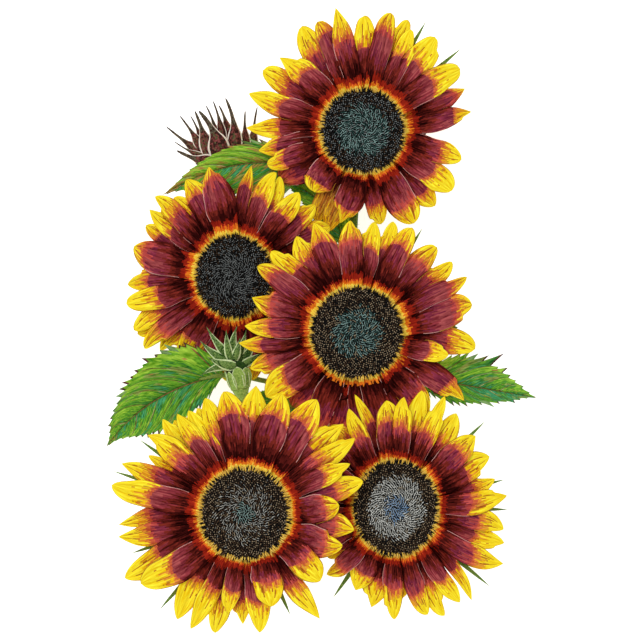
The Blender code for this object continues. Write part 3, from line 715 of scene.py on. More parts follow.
def add_ray(weave, chance, where, root, shape, skin, zones):
    """One ray floret; root: its distance from the axis and height; zones: finish of its upper faces."""
    length, bend, curl, room, sharp = shape
    place = np.linspace(0, 1, len(zones) + 1)
    squeeze = 0.7 * max(0.0, 1 - RAY_USUAL / length)
    v = place * (1 - squeeze + squeeze * place)
    t = v - (1 - v) * RAY_TUCK / length
    along, lift = sloping(RAY_RISE)
    aside = np.array((0.0, 1.0, 0.0))
    tip_curl = chance.uniform(-0.3, 0.15) * lift
    hook = tip_curl + chance.uniform(-0.5, 0.5) * aside
    sway = chance.uniform(-0.03, 0.03) * np.sin(math.pi * np.clip(t, 0, 1))[:, None]
    t2, late = ((np.maximum(t - start, 0) ** 2)[:, None] for start in (0, RAY_HOOK_FROM))
    path = np.array((root[0], 0, root[1])) + length * (
        t[:, None] * along + t2 * (curl * lift + bend * aside) + sway * aside + late * hook
    )
    breadth = room * chance.uniform(0.92, 1.08)
    pointed = np.clip(sharp + chance.uniform(-0.2, 0.2), 0, 1)
    body = RAY_FOOT + (1 - RAY_FOOT) * smooth(v / chance.uniform(0.4, 0.6))
    late_share = np.clip((v - RAY_TAPER) / (1 - RAY_TAPER), 0, 1)
    point = (1 - late_share ** (2.6 - 0.9 * pointed)) ** (0.5 + 0.5 * pointed)
    sides = []
    for _ in range(2):
        wave = 1 + 0.05 * np.sin(v * chance.uniform(9, 15) + chance.uniform(0, 6))
        notch_at = chance.uniform(0.7, 0.88)
        notch = 1 - chance.choice((0, 0, 0, 0.3)) * smooth((v - notch_at) / 0.03)
        sides.append(RAY_HALF_WIDTH * breadth * body * point * wave * notch + TIP)
    twist = math.radians(chance.uniform(-16, 16)) * v
    twist = twist + math.radians(chance.uniform(-30, 30)) * np.maximum(v - 0.7, 0)
    cup = chance.uniform(-1.5, 1.8)
    ribs = chance.uniform(0.35, 0.6)
    roll = chance.uniform(-0.9, 0.9)

    def relief(u):
        fade = (smooth(v / 0.2) * (1 - smooth((v - 0.86) / 0.14)))[:, None]
        pleat = np.cos(2 * math.pi * u * 1.45)[None] * ribs
        dish = cup * (u**2)[None] * np.sin(math.pi * np.clip(v, 0, 1))[:, None] * 0.8
        edge = roll * (np.sign(u) * u**4)[None] * smooth((v - 0.3) / 0.4)[:, None]
        return fade * pleat + dish + edge

    across, under_across = blade_across(zones.shape[1]), np.linspace(-1, 1, RAY_UNDER_COLUMNS + 1)
    (upper, upper_map), (lower, lower_map) = (
        (
            placed(surface(path, *sides, relief(u) - sink, twist, u), where),
            map_places(*slot_span(slot), u, 0.01 + 0.98 * place),
        )
        for u, sink, slot in ((across, 0.0, skin), (under_across, RAY_THICKNESS, UNDER_SKIN))
    )
    add_lens(weave, upper, lower, zones, ZONE["under"], upper_map, lower_map)


def slot_span(skin):
    """Where a skin's own strip of the ray map starts, and how wide it is."""
    low, high = (skin + 0.06) / RAY_MAP_SLOTS, (skin + 0.94) / RAY_MAP_SLOTS
    return low, high - low


# ---------------- discs
DISC_TONES = {
    "soot": ((8, 8, 9), (38, 36, 35)),
    "umber": ((34, 22, 15), (96, 74, 55)),
    "pine": ((18, 42, 40), (66, 96, 92)),
    "mist": ((86, 116, 112), (156, 184, 178)),
    "smoke": ((66, 70, 72), (144, 148, 146)),
    "ash": ((114, 116, 110), (196, 196, 188)),
    "chalk": ((170, 172, 166), (236, 236, 230)),
    "bran": ((104, 88, 66), (178, 160, 132)),
    "blue": ((62, 108, 158), (146, 180, 212)),
    "gold": ((212, 150, 34), (252, 226, 118)),
}
DISC = numbered(DISC_TONES)
DiscLook = namedtuple(
    "DiscLook", "young_until fade body ridge eye eye_share crown dark_young dark_grown teeth toothed"
)
# young_until, eye_share, teeth: shares of the radius; dark_young, dark_grown, toothed: shares of the florets
DISC_LOOKS = {
    "top": DiscLook(0.62, 0.05, "pine", "mist", "mist", 0.0, "smoke", 0.28, 0.8, 0.94, 0.5),
    "left": DiscLook(0.62, 0.09, "soot", "smoke", "smoke", 0.0, "smoke", 0.45, 0.66, 0.95, 0.35),
    "centre": DiscLook(0.54, 0.05, "pine", "mist", "mist", 0.0, "bran", 0.15, 0.5, 0.95, 0.45),
    "lower_right": DiscLook(0.66, 0.04, "ash", "chalk", "blue", 0.25, "bran", 0.1, 0.25, 0.93, 0.55),
    "lower_left": DiscLook(0.62, 0.1, "umber", "ash", "mist", 0.2, "bran", 0.3, 0.25, 0.92, 0.7),
}
# share of the disc's radius, and the height of its surface there over the ray plane
DISC_SURFACE = (
    (0, DISC_DIP_RISE), (0.3, DISC_DIP_RISE), (0.62, DISC_CROWN_RISE), (0.88, DISC_CROWN_RISE - 1.2),
    (1.0, DISC_RIM_RISE), (1.2, DISC_RIM_RISE - 2),
)
DISC_CORE_DROP = 0.7  # how far the dark core lies under that surface
FLORET_JITTER = 0.14
SWIRL, SWIRL_SHARE = math.radians(38), 0.85  # how far the young florets turn, and how many turn that way
GROWN_FLORET = ((0.5, -0.6), (0.66, 0.5), (0.5, 1.2), (AXIS, 1.6))  # radius and height of its rings
RIM_FLORET = ((0.6, -0.4), (0.6, 0.9), (0.36, 2.1), (AXIS, 3.4))


def disc_height(share):
    return np.interp(share, *zip(*DISC_SURFACE))


def young_floret():
    """A low roof with a narrow pale ridge, lying along +X: points, quads, and 1 for the ridge's quads."""
    points = []
    for x, half, height in ((-1.15, 0.25, 0.35), (-0.55, 0.48, 0.8), (0.4, 0.48, 0.9), (1.2, 0.14, 0.45)):
        ridge = min(0.2, half * 0.6)
        points += [(x, half, -0.3), (x, ridge, height), (x, -ridge, height), (x, -half, -0.3)]
    ends = ((3, 2, 1, 0), (12, 13, 14, 15))
    return np.array(points), np.vstack([ring_faces(4, 4), ends]), np.array((0, 1, 0, 0) * 3 + (0, 0))


def disc_florets(head):
    """The disc: a dark core, and florets on a spiral, young in the middle and toothed at the rim."""
    weave = Weave()
    here = head_frame(head)
    chance = np.random.default_rng(50 + head.seed)
    radius, look = head.disc_radius, DISC_LOOKS[head.name]

    profile = [(AXIS, -RING_HEIGHT), (radius, -RING_HEIGHT), (radius, DISC_RIM_RISE - 1.2)]
    for s in np.linspace(1, 0, 16):
        profile.append((max(AXIS, s * radius * 0.99), disc_height(s) - DISC_CORE_DROP))
    weave.add_turned(profile, 64, here, DISC["soot"])

    index = np.arange(FLORETS)
    share = np.sqrt((index + 0.5) / FLORETS)
    turn = index * GOLDEN_ANGLE + head.seed
    jitter = chance.normal(0, FLORET_JITTER, (FLORETS, 2))
    spots = np.stack([share * radius * np.cos(turn), share * radius * np.sin(turn)], axis=1) + jitter
    turn = np.arctan2(spots[:, 1], spots[:, 0])
    share = np.hypot(spots[:, 0], spots[:, 1]) / radius
    spots = np.column_stack([spots, disc_height(share)])
    outward = np.column_stack([np.cos(turn), np.sin(turn), np.zeros(FLORETS)])
    young = share + chance.normal(0, look.fade, FLORETS) < look.young_until
    rim = share > min(0.93, look.teeth)
    grown = ~young & ~rim

    def deal(names, count, shares=None):
        return chance.choice([DISC[name] for name in names], count, p=shares)

    def dark_or(name, dark_share, count):
        return np.where(chance.uniform(size=count) < dark_share, DISC["soot"], DISC[name])

    def stand(shape, faces, finish, which, leaning, size):
        """Copies of an upright floret that lean outwards from the disc's axis."""
        axis = unit(np.array((0, 0, 1.0)) + outward[which] * leaning[:, None])
        copies = upright(shape, size, spots[which], axis, outward[which])
        weave.add_copies(faces, finish, placed(copies, here))

    points, faces, rings = young_floret()
    count = int(young.sum())
    swirl = turn[young] + SWIRL * np.where(chance.uniform(size=count) < SWIRL_SHARE, 1, -1)
    swirl += chance.normal(0, 0.35, count)
    forward = np.column_stack([np.cos(swirl), np.sin(swirl), np.full(count, 0.12)])
    side = unit(np.cross((0, 0, 1.0), forward))
    size = chance.uniform(0.55, 1.0, count)[:, None, None]
    world = size * turned(points[None], forward, side, np.array(((0, 0, 1.0),)))
    in_eye = share[young] + chance.normal(0, 0.04, count) < look.eye_share
    ridges = deal((look.crown, look.body, look.ridge), count, (0.14, 0.26, 0.6))
    ridges = np.where(in_eye, DISC[look.eye], ridges)
    finish = np.where(rings[None] == 1, ridges[:, None], dark_or(look.body, look.dark_young, count)[:, None])
    weave.add_copies(faces, finish, placed(spots[young][:, None] + world, here))

    points, faces, rings = ring_shape(GROWN_FLORET, 5)
    count = int(grown.sum())
    bodies = dark_or("umber", look.dark_grown, count)
    crowns = deal((look.crown, "umber", "soot"), count, (0.6, 0.2, 0.2))
    finish = np.where(rings[None] == 2, crowns[:, None], bodies[:, None])
    stand(points, faces, finish, grown, 0.6 * share[grown], chance.uniform(0.7, 1.0, count))

    points, faces, _ = ring_shape(RIM_FLORET, 5)
    count = int(rim.sum())
    bodies = deal(("soot", "umber"), count)
    toothed = (share[rim] > look.teeth) & (chance.uniform(size=count) < look.toothed)
    finish = np.tile(painted(bodies, DISC, (toothed, "gold"))[:, None], (1, len(faces)))
    stand(points, faces, finish, rim, chance.uniform(0.7, 1.9, count), chance.uniform(0.7, 1.05, count))
    return weave


# ---------------- stems
STEM_TONES = {
    "green": ((52, 78, 26), (118, 144, 62)),
    "pith": ((176, 178, 140), (216, 214, 180)),
    "bristle": ((150, 164, 110), (206, 212, 166)),
    "dark": ((30, 48, 22), (84, 108, 48)),
}
STEM = numbered(STEM_TONES)
BRISTLE = ((0.10, -0.1), (0.07, 0.5), (0.015, 1.25))  # radius and height of its rings
BRISTLE_CLEAR = 2  # length along a bristle that has to stay over the floor
UNEVEN = 0.035  # share of a stem's radius that it swells and shrinks by
HEAD_STALK_ENDS = (-6, 0.9)  # heights of a stalk's last knots from the foot of its head's cup
BUD_STALK_ENDS = (5, -1.5)  # distances of a stalk's last knots from the foot of its bud, away from the bud


def curve_points(route, steps):
    """Points and places (0 to the last knot) along the smooth curve through the route's knots."""
    curve = bpy.data.curves.new("route", "CURVE")
    curve.dimensions = "3D"
    knots = curve.splines.new("BEZIER").bezier_points
    knots.add(len(route) - 1)
    for knot, point in zip(knots, route):
        knot.co = point
        knot.handle_left_type = knot.handle_right_type = "AUTO"
    guide = linked("route", curve)
    bpy.context.view_layer.update()
    knots = [(k.handle_left.copy(), k.co.copy(), k.handle_right.copy()) for k in knots]
    bpy.data.objects.remove(guide)
    points = [Vector(knots[0][1])]
    for (_, start, leaving), (arriving, end, _) in zip(knots, knots[1:]):
        points += interpolate_bezier(start, leaving, arriving, end, steps + 1)[1:]
    return np.array(points), np.linspace(0, len(route) - 1, len(points))


def across_frames(points):
    """Two unit vectors across the curve at every point, carried along it without twist."""
    tangent = unit(np.gradient(points, axis=0))
    ones = [unit(np.cross(tangent[0], (0.31, 0.17, 0.93)))]
    for way in tangent[1:]:
        ones.append(unit(ones[-1] - way * np.dot(ones[-1], way)))
    ones = np.array(ones)
    return ones, np.cross(tangent, ones)


def add_tube(weave, chance, route, radii, finish, sides, ribs, steps=14, rib_depth=0.05, cut=None,
             bristles=0):
    """Ribbed stem along a route, closed at both ends; cut: another finish for its foot."""
    points, places = curve_points(route, steps)
    radius = np.interp(places, np.arange(len(radii)), radii)
    one, other = across_frames(points)
    turn = np.arange(sides) * 2 * math.pi / sides
    uneven = wander(chance, len(points), sides + 1, 6, 4)[:, :-1] * UNEVEN
    swell = 1 + rib_depth * np.cos(ribs * turn)[None] + uneven
    ring = one[:, None] * np.cos(turn)[None, :, None] + other[:, None] * np.sin(turn)[None, :, None]
    skin = points[:, None] + (radius[:, None] * swell)[..., None] * ring
    grid = numbers(weave.add_points(skin), len(points), sides)
    grid = np.hstack([grid, grid[:, :1]])
    around = np.stack(np.meshgrid(np.linspace(0, 1, sides + 1), places / max(1, places[-1])), axis=-1)
    weave.add_grid(grid[:, ::-1], finish, around[:, ::-1])
    for end, look in ((grid[0, :-1], finish if cut is None else cut), (grid[-1, :-1][::-1], finish)):
        weave.add_faces(end, look, np.full((1, sides, 2), 0.5))
    if bristles:
        add_bristles(weave, chance, points, radius, one, other, bristles)


def add_bristles(weave, chance, points, radius, one, other, count):
    """Thin bristles that stand out of a stem, but for those that would reach into the floor."""
    spike, faces, _ = ring_shape(BRISTLE, 3)
    row = chance.integers(1, len(points) - 2, count)
    share = chance.uniform(0, 1, count)[:, None]
    turn = chance.uniform(0, 2 * math.pi, count)[:, None]
    out = unit(one[row] * np.cos(turn) + other[row] * np.sin(turn))
    feet = points[row] * (1 - share) + points[row + 1] * share + out * radius[row][:, None] * 0.98
    clear = (feet + BRISTLE_CLEAR * out)[:, 2] + SHIFT[2] > 0
    size = chance.uniform(0.6, 1.3, count)[clear]
    copies = upright(spike, size, feet[clear], out[clear], (0.43, 0.29, 0.85))
    weave.add_copies(faces, np.full((len(copies), len(faces)), STEM["bristle"]), copies)


def stem(seed, route, radii, finish, **looks):
    weave = Weave()
    add_tube(weave, np.random.default_rng(seed), route, radii, STEM[finish], **looks)
    return weave


def main_stem():
    radii = [
        STEM_FOOT_RADIUS + (STEM_TOP_RADIUS - STEM_FOOT_RADIUS) * i / (len(STEM_ROUTE) - 1)
        for i in range(len(STEM_ROUTE))
    ]
    return stem(1, STEM_ROUTE, radii, "green", sides=48, ribs=13, steps=24, rib_depth=0.045, cut=STEM["pith"],
                bristles=700)


def head_stalk(head):
    foot = -RING_HEIGHT - 2 * NECK_GAP - CUP_DEPTH
    ends = (tuple(head_frame(head) @ Vector((0, 0, foot + step))) for step in HEAD_STALK_ENDS)
    route = [*STALK_ROUTES[head.name], *ends]
    radii = [STALK_RADIUS * 1.1] + [STALK_RADIUS] * (len(route) - 3) + [STALK_RADIUS * 1.15, NECK_RADIUS]
    return stem(20 + head.seed, route, radii, "green", sides=28, ribs=10, bristles=260)


def bud_stalk(kind):
    away = spin(kind.turn) @ Vector((-1, 0, 0))
    end = Vector(kind.place) + away * (kind.depth + 2 * NECK_GAP)
    route = [*STALK_ROUTES[kind.name], *(tuple(end + away * step) for step in BUD_STALK_ENDS)]
    radii = [STALK_RADIUS * 0.8] * (len(route) - 1) + [STALK_RADIUS]
    return stem(40 + kind.seed, route, radii, "dark", sides=24, ribs=8, bristles=200)


# ---------------- bracts
BRACT_TONES = {
    "green": ((62, 98, 36), (124, 158, 72)),
    "deep": ((38, 70, 30), (88, 122, 54)),
    "light": ((112, 140, 66), (176, 196, 122)),
    "cup": ((70, 100, 40), (126, 152, 74)),
}
BRACT = numbered(BRACT_TONES)
# place along a bract or lobe, and share of its half width
LONG_OUTLINE = ((0, 0.6), (0.35, 0.75), (0.62, 0.55), (0.85, 0.34), (1, 0.02))
SHORT_OUTLINE = ((0, 0.85), (0.35, 1.0), (0.62, 0.55), (0.8, 0.2), (1, 0.02))
LOBE_OUTLINE = ((0, 0.6), (0.3, 0.9), (0.6, 1.0), (0.85, 0.7), (1, 0.1))
CUP_BELLY = ((0.3, 0.9), (0.62, 0.72), (0.84, 0.52))  # shares of the cup's radius and of its depth
LOWER_WHORL_RADIUS = 0.72  # share of the cup's radius
LOWER_WHORL_DROP = 3.4
LOWER_WHORL_BREADTH = 1.1


def add_bract(weave, chance, where, root, length, half_width, outline, rise, curl, finish, keel=0.5, dish=0.6,
              thickness=0.5):
    """Lens-section bract; root: its distance from the axis and height; keel, dish: heights of its relief."""
    v = np.linspace(0, 1, BRACT_ROWS + 1)
    along, lift = sloping(rise)
    path = np.array((root[0], 0, root[1])) + length * (v[:, None] * along + (v**2)[:, None] * curl * lift)
    half = half_widths(v, outline, half_width)
    full = np.sin(math.pi * np.clip(v * 0.9 + 0.1, 0, 1))[:, None]
    twist = math.radians(chance.uniform(-22, 22)) * v**2

    def relief(u):
        shape = dish * (u**2)[None] * full + keel * np.exp(-((u / 0.22) ** 2))[None] * full
        return shape * np.minimum(1, half / half_width)[:, None]

    add_leaflet(weave, where, path, half, relief, twist, thickness, finish)


def bract_finish(chance, body="green"):
    """Body tones by face, with pale side edges and a light keel."""
    along, across = face_shares(BRACT_ROWS, BRACT_COLUMNS)
    cloud = wander(chance, BRACT_ROWS, BRACT_COLUMNS, 5, 1.5)
    return painted(
        BRACT[body], BRACT,
        (cloud + 0.4 * (0.5 - along) > 0.05, "deep"),
        (along > 0.62, "green"),
        ((np.abs(across) > 0.86) | (np.abs(across) < 0.1) & (along < 0.8), "light"),
    )


def calyx(head):
    """Cup under the disc, with two whorls of short bracts and the long ones that reach past the rays."""
    weave = Weave()
    here = head_frame(head)
    chance = np.random.default_rng(80 + head.seed)
    rim = -RING_HEIGHT - NECK_GAP
    radius = head.disc_radius + CUP_OVERHANG
    neck = [(AXIS, rim - CUP_DEPTH), (NECK_RADIUS, rim - CUP_DEPTH)]
    belly = [(wide * radius, rim - deep * CUP_DEPTH) for wide, deep in CUP_BELLY]
    mouth = [(radius + 0.4, rim - 0.32 * CUP_DEPTH), (radius + 0.2, rim - 0.8), (radius * 0.97, rim)]
    weave.add_turned([*neck, *belly, *mouth, (AXIS, rim)], 60, here, BRACT["cup"])
    root = (radius - 4, rim - BRACT_ROOT_DROP)
    lower = (radius * LOWER_WHORL_RADIUS, rim - BRACT_ROOT_DROP - LOWER_WHORL_DROP)
    long_bracts = [on_face(head, direction, reach) for direction, reach in head.long_bracts]

    def add(angle, foot, reach, half_width, outline, curl, body="green", thickness=0.5):
        add_bract(weave, chance, here @ spin(angle), foot, reach - foot[0], half_width, outline, BRACT_FALL,
                  curl, bract_finish(chance, body), thickness=thickness)

    for index in range(BRACTS):
        angle = index * 360 / BRACTS
        if all(abs((angle - other + 180) % 360 - 180) > BRACT_ROOM for other, _ in long_bracts):
            add(angle, root, BRACT_REACH * chance.uniform(0.92, 1.0), BRACT_HALF_WIDTH, SHORT_OUTLINE, 0.02)
        add(angle + 180 / BRACTS, lower, BRACT_REACH * chance.uniform(0.82, 0.93),
            BRACT_HALF_WIDTH * LOWER_WHORL_BREADTH, SHORT_OUTLINE, 0.06, "deep")
    for angle, reach in long_bracts:
        add(angle, root, reach, LONG_BRACT_HALF_WIDTH, LONG_OUTLINE, 0.0, thickness=0.4)
    return weave


# ---------------- buds
BUD_TONES = {
    "wine": ((40, 14, 12), (128, 68, 58)),
    "black": ((14, 8, 6), (74, 44, 36)),
    "olive": ((44, 40, 24), (112, 104, 70)),
    "tail": ((46, 42, 32), (120, 112, 90)),
    "cream": ((216, 196, 176), (250, 240, 226)),
    "rose": ((80, 22, 30), (158, 88, 82)),
}
GREEN_BUD_TONES = {
    "wine": ((40, 76, 28), (108, 142, 68)),
    "black": ((12, 36, 10), (60, 94, 38)),
    "olive": ((58, 92, 38), (130, 158, 84)),
    "tail": ((66, 98, 48), (138, 162, 98)),
    "cream": ((164, 186, 116), (220, 232, 186)),
    "rose": ((76, 104, 48), (144, 166, 96)),
    "cup": ((88, 126, 44), (172, 200, 104)),
}
BUD_ZONE = numbered(GREEN_BUD_TONES)
BudLook = namedtuple("BudLook", "tones slot outline edge")
# outline: of its bracts; edge: share of their half width where the pale lines start
BUD_LOOKS = {
    "dark_bud": BudLook(BUD_TONES, "dark_bract", (
        (0, 0.6), (0.15, 0.9), (0.3, 1.0), (0.42, 0.84), (0.54, 0.46), (0.66, 0.26), (0.88, 0.18), (1, 0.08),
    ), 0.84),
    "green_bud": BudLook(GREEN_BUD_TONES, "bract", (
        (0, 0.7), (0.2, 1.0), (0.42, 0.92), (0.65, 0.56), (0.85, 0.22), (1, 0.03),
    ), 0.76),
}
# the closed core within the bracts: its width and its flatness, as shares of the solid's
BUD_CORE_SHARE, BUD_CORE_FLATNESS = 0.6, 0.5
BUD_ARCH = 1.5
BUD_SKIN = 0.5
FUNNEL = ((AXIS, -13), (2.8, -13), (3.3, -8), (5.0, -3), (6.6, 1), (AXIS, 3))  # radius, height of its rings
LOBES = 8
LOBE_ROOT, LOBE_LENGTHS, LOBE_HALF_WIDTH, LOBE_RISE = (5.6, -1), (12, 15), 4.6, math.radians(80)
LYING = Matrix.Rotation(math.radians(90), 4, "Y")  # a turned shape's axis laid along +X


def bud_finish(chance, edge):
    """Speckled tones by face, with pale lines along both sides from a share of the half width on."""
    along, across = face_shares(BUD_ROWS, BUD_COLUMNS)
    cloud = wander(chance, BUD_ROWS, BUD_COLUMNS, 9, 4)
    speck = wander(chance, BUD_ROWS, BUD_COLUMNS, 1.0, 0.9)
    middle = np.exp(-((across / 0.5) ** 2)) * np.exp(-(((along - 0.3) / 0.2) ** 2))
    mood = 0.5 * cloud + 0.5 * speck + chance.uniform(0.1, 0.5) * middle
    return painted(
        chosen(np.digitize(mood, (-0.15, 0.15, 0.35)), BUD_ZONE, "black wine rose olive"), BUD_ZONE,
        (along > 0.55, "black"),
        ((along > 0.55) & (speck > -0.1), "tail"),
        ((np.abs(across) > edge) & (along < 0.85), "cream"),
    )


def bud(kind):
    """Closed bud lying on its side: a flat core and a neck under overlapping bracts with long tips."""
    weave = Weave()
    flat = Matrix.Diagonal((1, 1, kind.flatness * BUD_CORE_FLATNESS, 1))
    here = Matrix.Translation(kind.place) @ flat @ spin(kind.turn) @ LYING
    wide, deep = kind.radius * BUD_CORE_SHARE, kind.depth * BUD_CORE_SHARE
    turn = np.linspace(-math.pi / 2, math.pi / 2, 14)
    core = [(max(AXIS, wide * math.cos(a)), deep * math.sin(a)) for a in turn]
    neck = [(AXIS, -kind.depth), (STALK_RADIUS, -kind.depth), (wide * 0.7, -deep), (wide * 0.9, 0)]
    for profile in (core, neck + [(AXIS, deep * 0.5)]):
        weave.add_turned(profile, 36, here, BUD_ZONE["black"])
    look = BUD_LOOKS[kind.name]
    chance = np.random.default_rng(kind.seed)
    for bract in BUD_BRACTS[kind.name]:
        add_bud_bract(weave, chance, *bract, look.outline, bud_finish(chance, look.edge))
    if kind.name == "green_bud":
        add_cup(weave, chance, kind)
    return weave


def add_bud_bract(weave, chance, root, bow, tip, half_width, height, outline, finish):
    """Bract that lies along its bowed midline with its sides turned down round the bud."""
    v = np.linspace(0, 1, BUD_ROWS + 1)
    root, bow, tip = (np.array((*point, height), float) for point in (root, bow, tip))
    t = v[:, None]
    path = (1 - t) ** 2 * root + 2 * t * (1 - t) * bow + t**2 * tip
    path[:, 2] += BUD_ARCH * np.sin(math.pi * v**0.7)
    half = half_widths(v, outline, half_width)
    twist = math.radians(chance.uniform(-14, 14)) * v

    def relief(u):
        shape = 0.25 * np.exp(-((u / 0.2) ** 2)) - 0.3 * half_width * np.abs(u) ** 2.2
        return shape[None] * np.minimum(1, half / half_width)[:, None]

    add_leaflet(weave, Matrix(), path, half, relief, twist, BUD_SKIN, finish)


def add_cup(weave, chance, kind):
    """Pale funnel between the green bud and its stalk, with a ring of lobes at its mouth."""
    here = Matrix.Translation(kind.place) @ spin(kind.turn) @ LYING
    weave.add_turned([(r, h - kind.depth) for r, h in FUNNEL], 28, here, BUD_ZONE["cup"])
    along, across = face_shares(BRACT_ROWS, BRACT_COLUMNS)
    edged = painted(BUD_ZONE["cup"], BUD_ZONE, ((np.abs(across) > 0.8) | (along > 0.93), "cream"))
    root = (LOBE_ROOT[0], LOBE_ROOT[1] - kind.depth)
    for index in range(LOBES):
        turn = (index + chance.uniform(-0.15, 0.15)) * 360 / LOBES
        add_bract(weave, chance, here @ spin(turn), root, chance.uniform(*LOBE_LENGTHS), LOBE_HALF_WIDTH,
                  LOBE_OUTLINE, LOBE_RISE, 0.02, edged, keel=0.3, dish=-0.6)


# ---------------- leaves
LEAF_TONES = {
    "teal": ((8, 96, 64), (88, 178, 120)),
    "deep": ((14, 74, 26), (84, 156, 62)),
    "green": ((40, 112, 18), (128, 190, 56)),
    "lime": ((84, 142, 20), (178, 220, 76)),
    "olive": ((72, 100, 34), (160, 182, 92)),
    "tan": ((116, 88, 34), (188, 152, 82)),
    "vein": ((104, 56, 34), (170, 116, 78)),
    "pale": ((124, 160, 84), (186, 206, 142)),
    "margin": ((64, 34, 36), (116, 70, 60)),
    "under": ((96, 136, 74), (146, 178, 116)),
}
LEAF_ZONE = numbered(LEAF_TONES)
LEAF_VEINS = 6  # on each side
LEAF_CROWDING = 1.45  # the veins stand closer together towards the base, by this power
LEAF_BETWEEN = 12  # rows of faces between one side's vein and the other's
LEAF_SWEEP = 0.55  # how far forward the veins run, of the length that is left
LEAF_SWEEP_START = 0.07
LEAF_TEETH = 25  # on each side of a leaf whose teeth are 0.1 deep
LEAF_SPUR, LEAF_SPUR_LENGTH = 0.35, 0.07
LEAF_SKIN = 0.5
LEAF_QUILT, LEAF_CREASE, LEAF_WAVE = 0.011, 0.012, 0.014  # heights of the relief, as shares of the length
LEAF_DRIP = 0.35  # how much narrower the tip is than the side's curve
LeafLook = namedtuple("LeafLook", "mood tan")
# mood: lighter or darker than the others; tan: how much of it has turned brown
LEAF_LOOKS = {"upper_left_leaf": LeafLook(0.2, 0.42), "right_leaf": LeafLook(-0.16, 0.0)}


def leaf_rows():
    """Places of the rows of points on the midrib, each face row's vein side or 0, and the veins' places."""
    places, sides = [0.0], []
    centres = [((i + 0.9) / (2 * LEAF_VEINS + 1)) ** LEAF_CROWDING for i in range(2 * LEAF_VEINS)]

    def fill(until, steps):
        start = places[-1]
        places.extend([start + (until - start) * step / steps for step in range(1, steps + 1)])
        sides.extend([0] * steps)

    for number, centre in enumerate(centres):
        half = 0.001 + 0.002 * min(1, centre / 0.4)
        fill(centre - half, LEAF_BETWEEN)
        places.append(centre + half)
        sides.append(1 if number % 2 else -1)
    fill(1, 2 * LEAF_BETWEEN)
    return np.array(places), np.array(sides), np.array(centres)


def swept(rows):
    """How far forward of its root on the midrib each row reaches the margin."""
    return LEAF_SWEEP * (1 - rows) * (1 - np.exp(-rows / LEAF_SWEEP_START))


def between_veins(rows, centres, flag):
    """Places of the rows among one side's veins: 0 at the base, and one more from each vein to the next."""
    own = np.concatenate([[0], centres[(0 if flag < 0 else 1)::2], [1]])
    return np.interp(rows, own, np.arange(len(own)))


def leaf_teeth(margin, chance, depth):
    """How far the margin stands out at every row: uneven saw teeth that point towards the tip."""
    place = margin * LEAF_TEETH * (0.1 / depth) ** 0.7 + chance.uniform(0, 1)
    size = chance.uniform(0.5, 2.0, int(place.max()) + 2) * depth
    return size[place.astype(int)] * (place % 1) ** 1.6 - 0.5 * depth


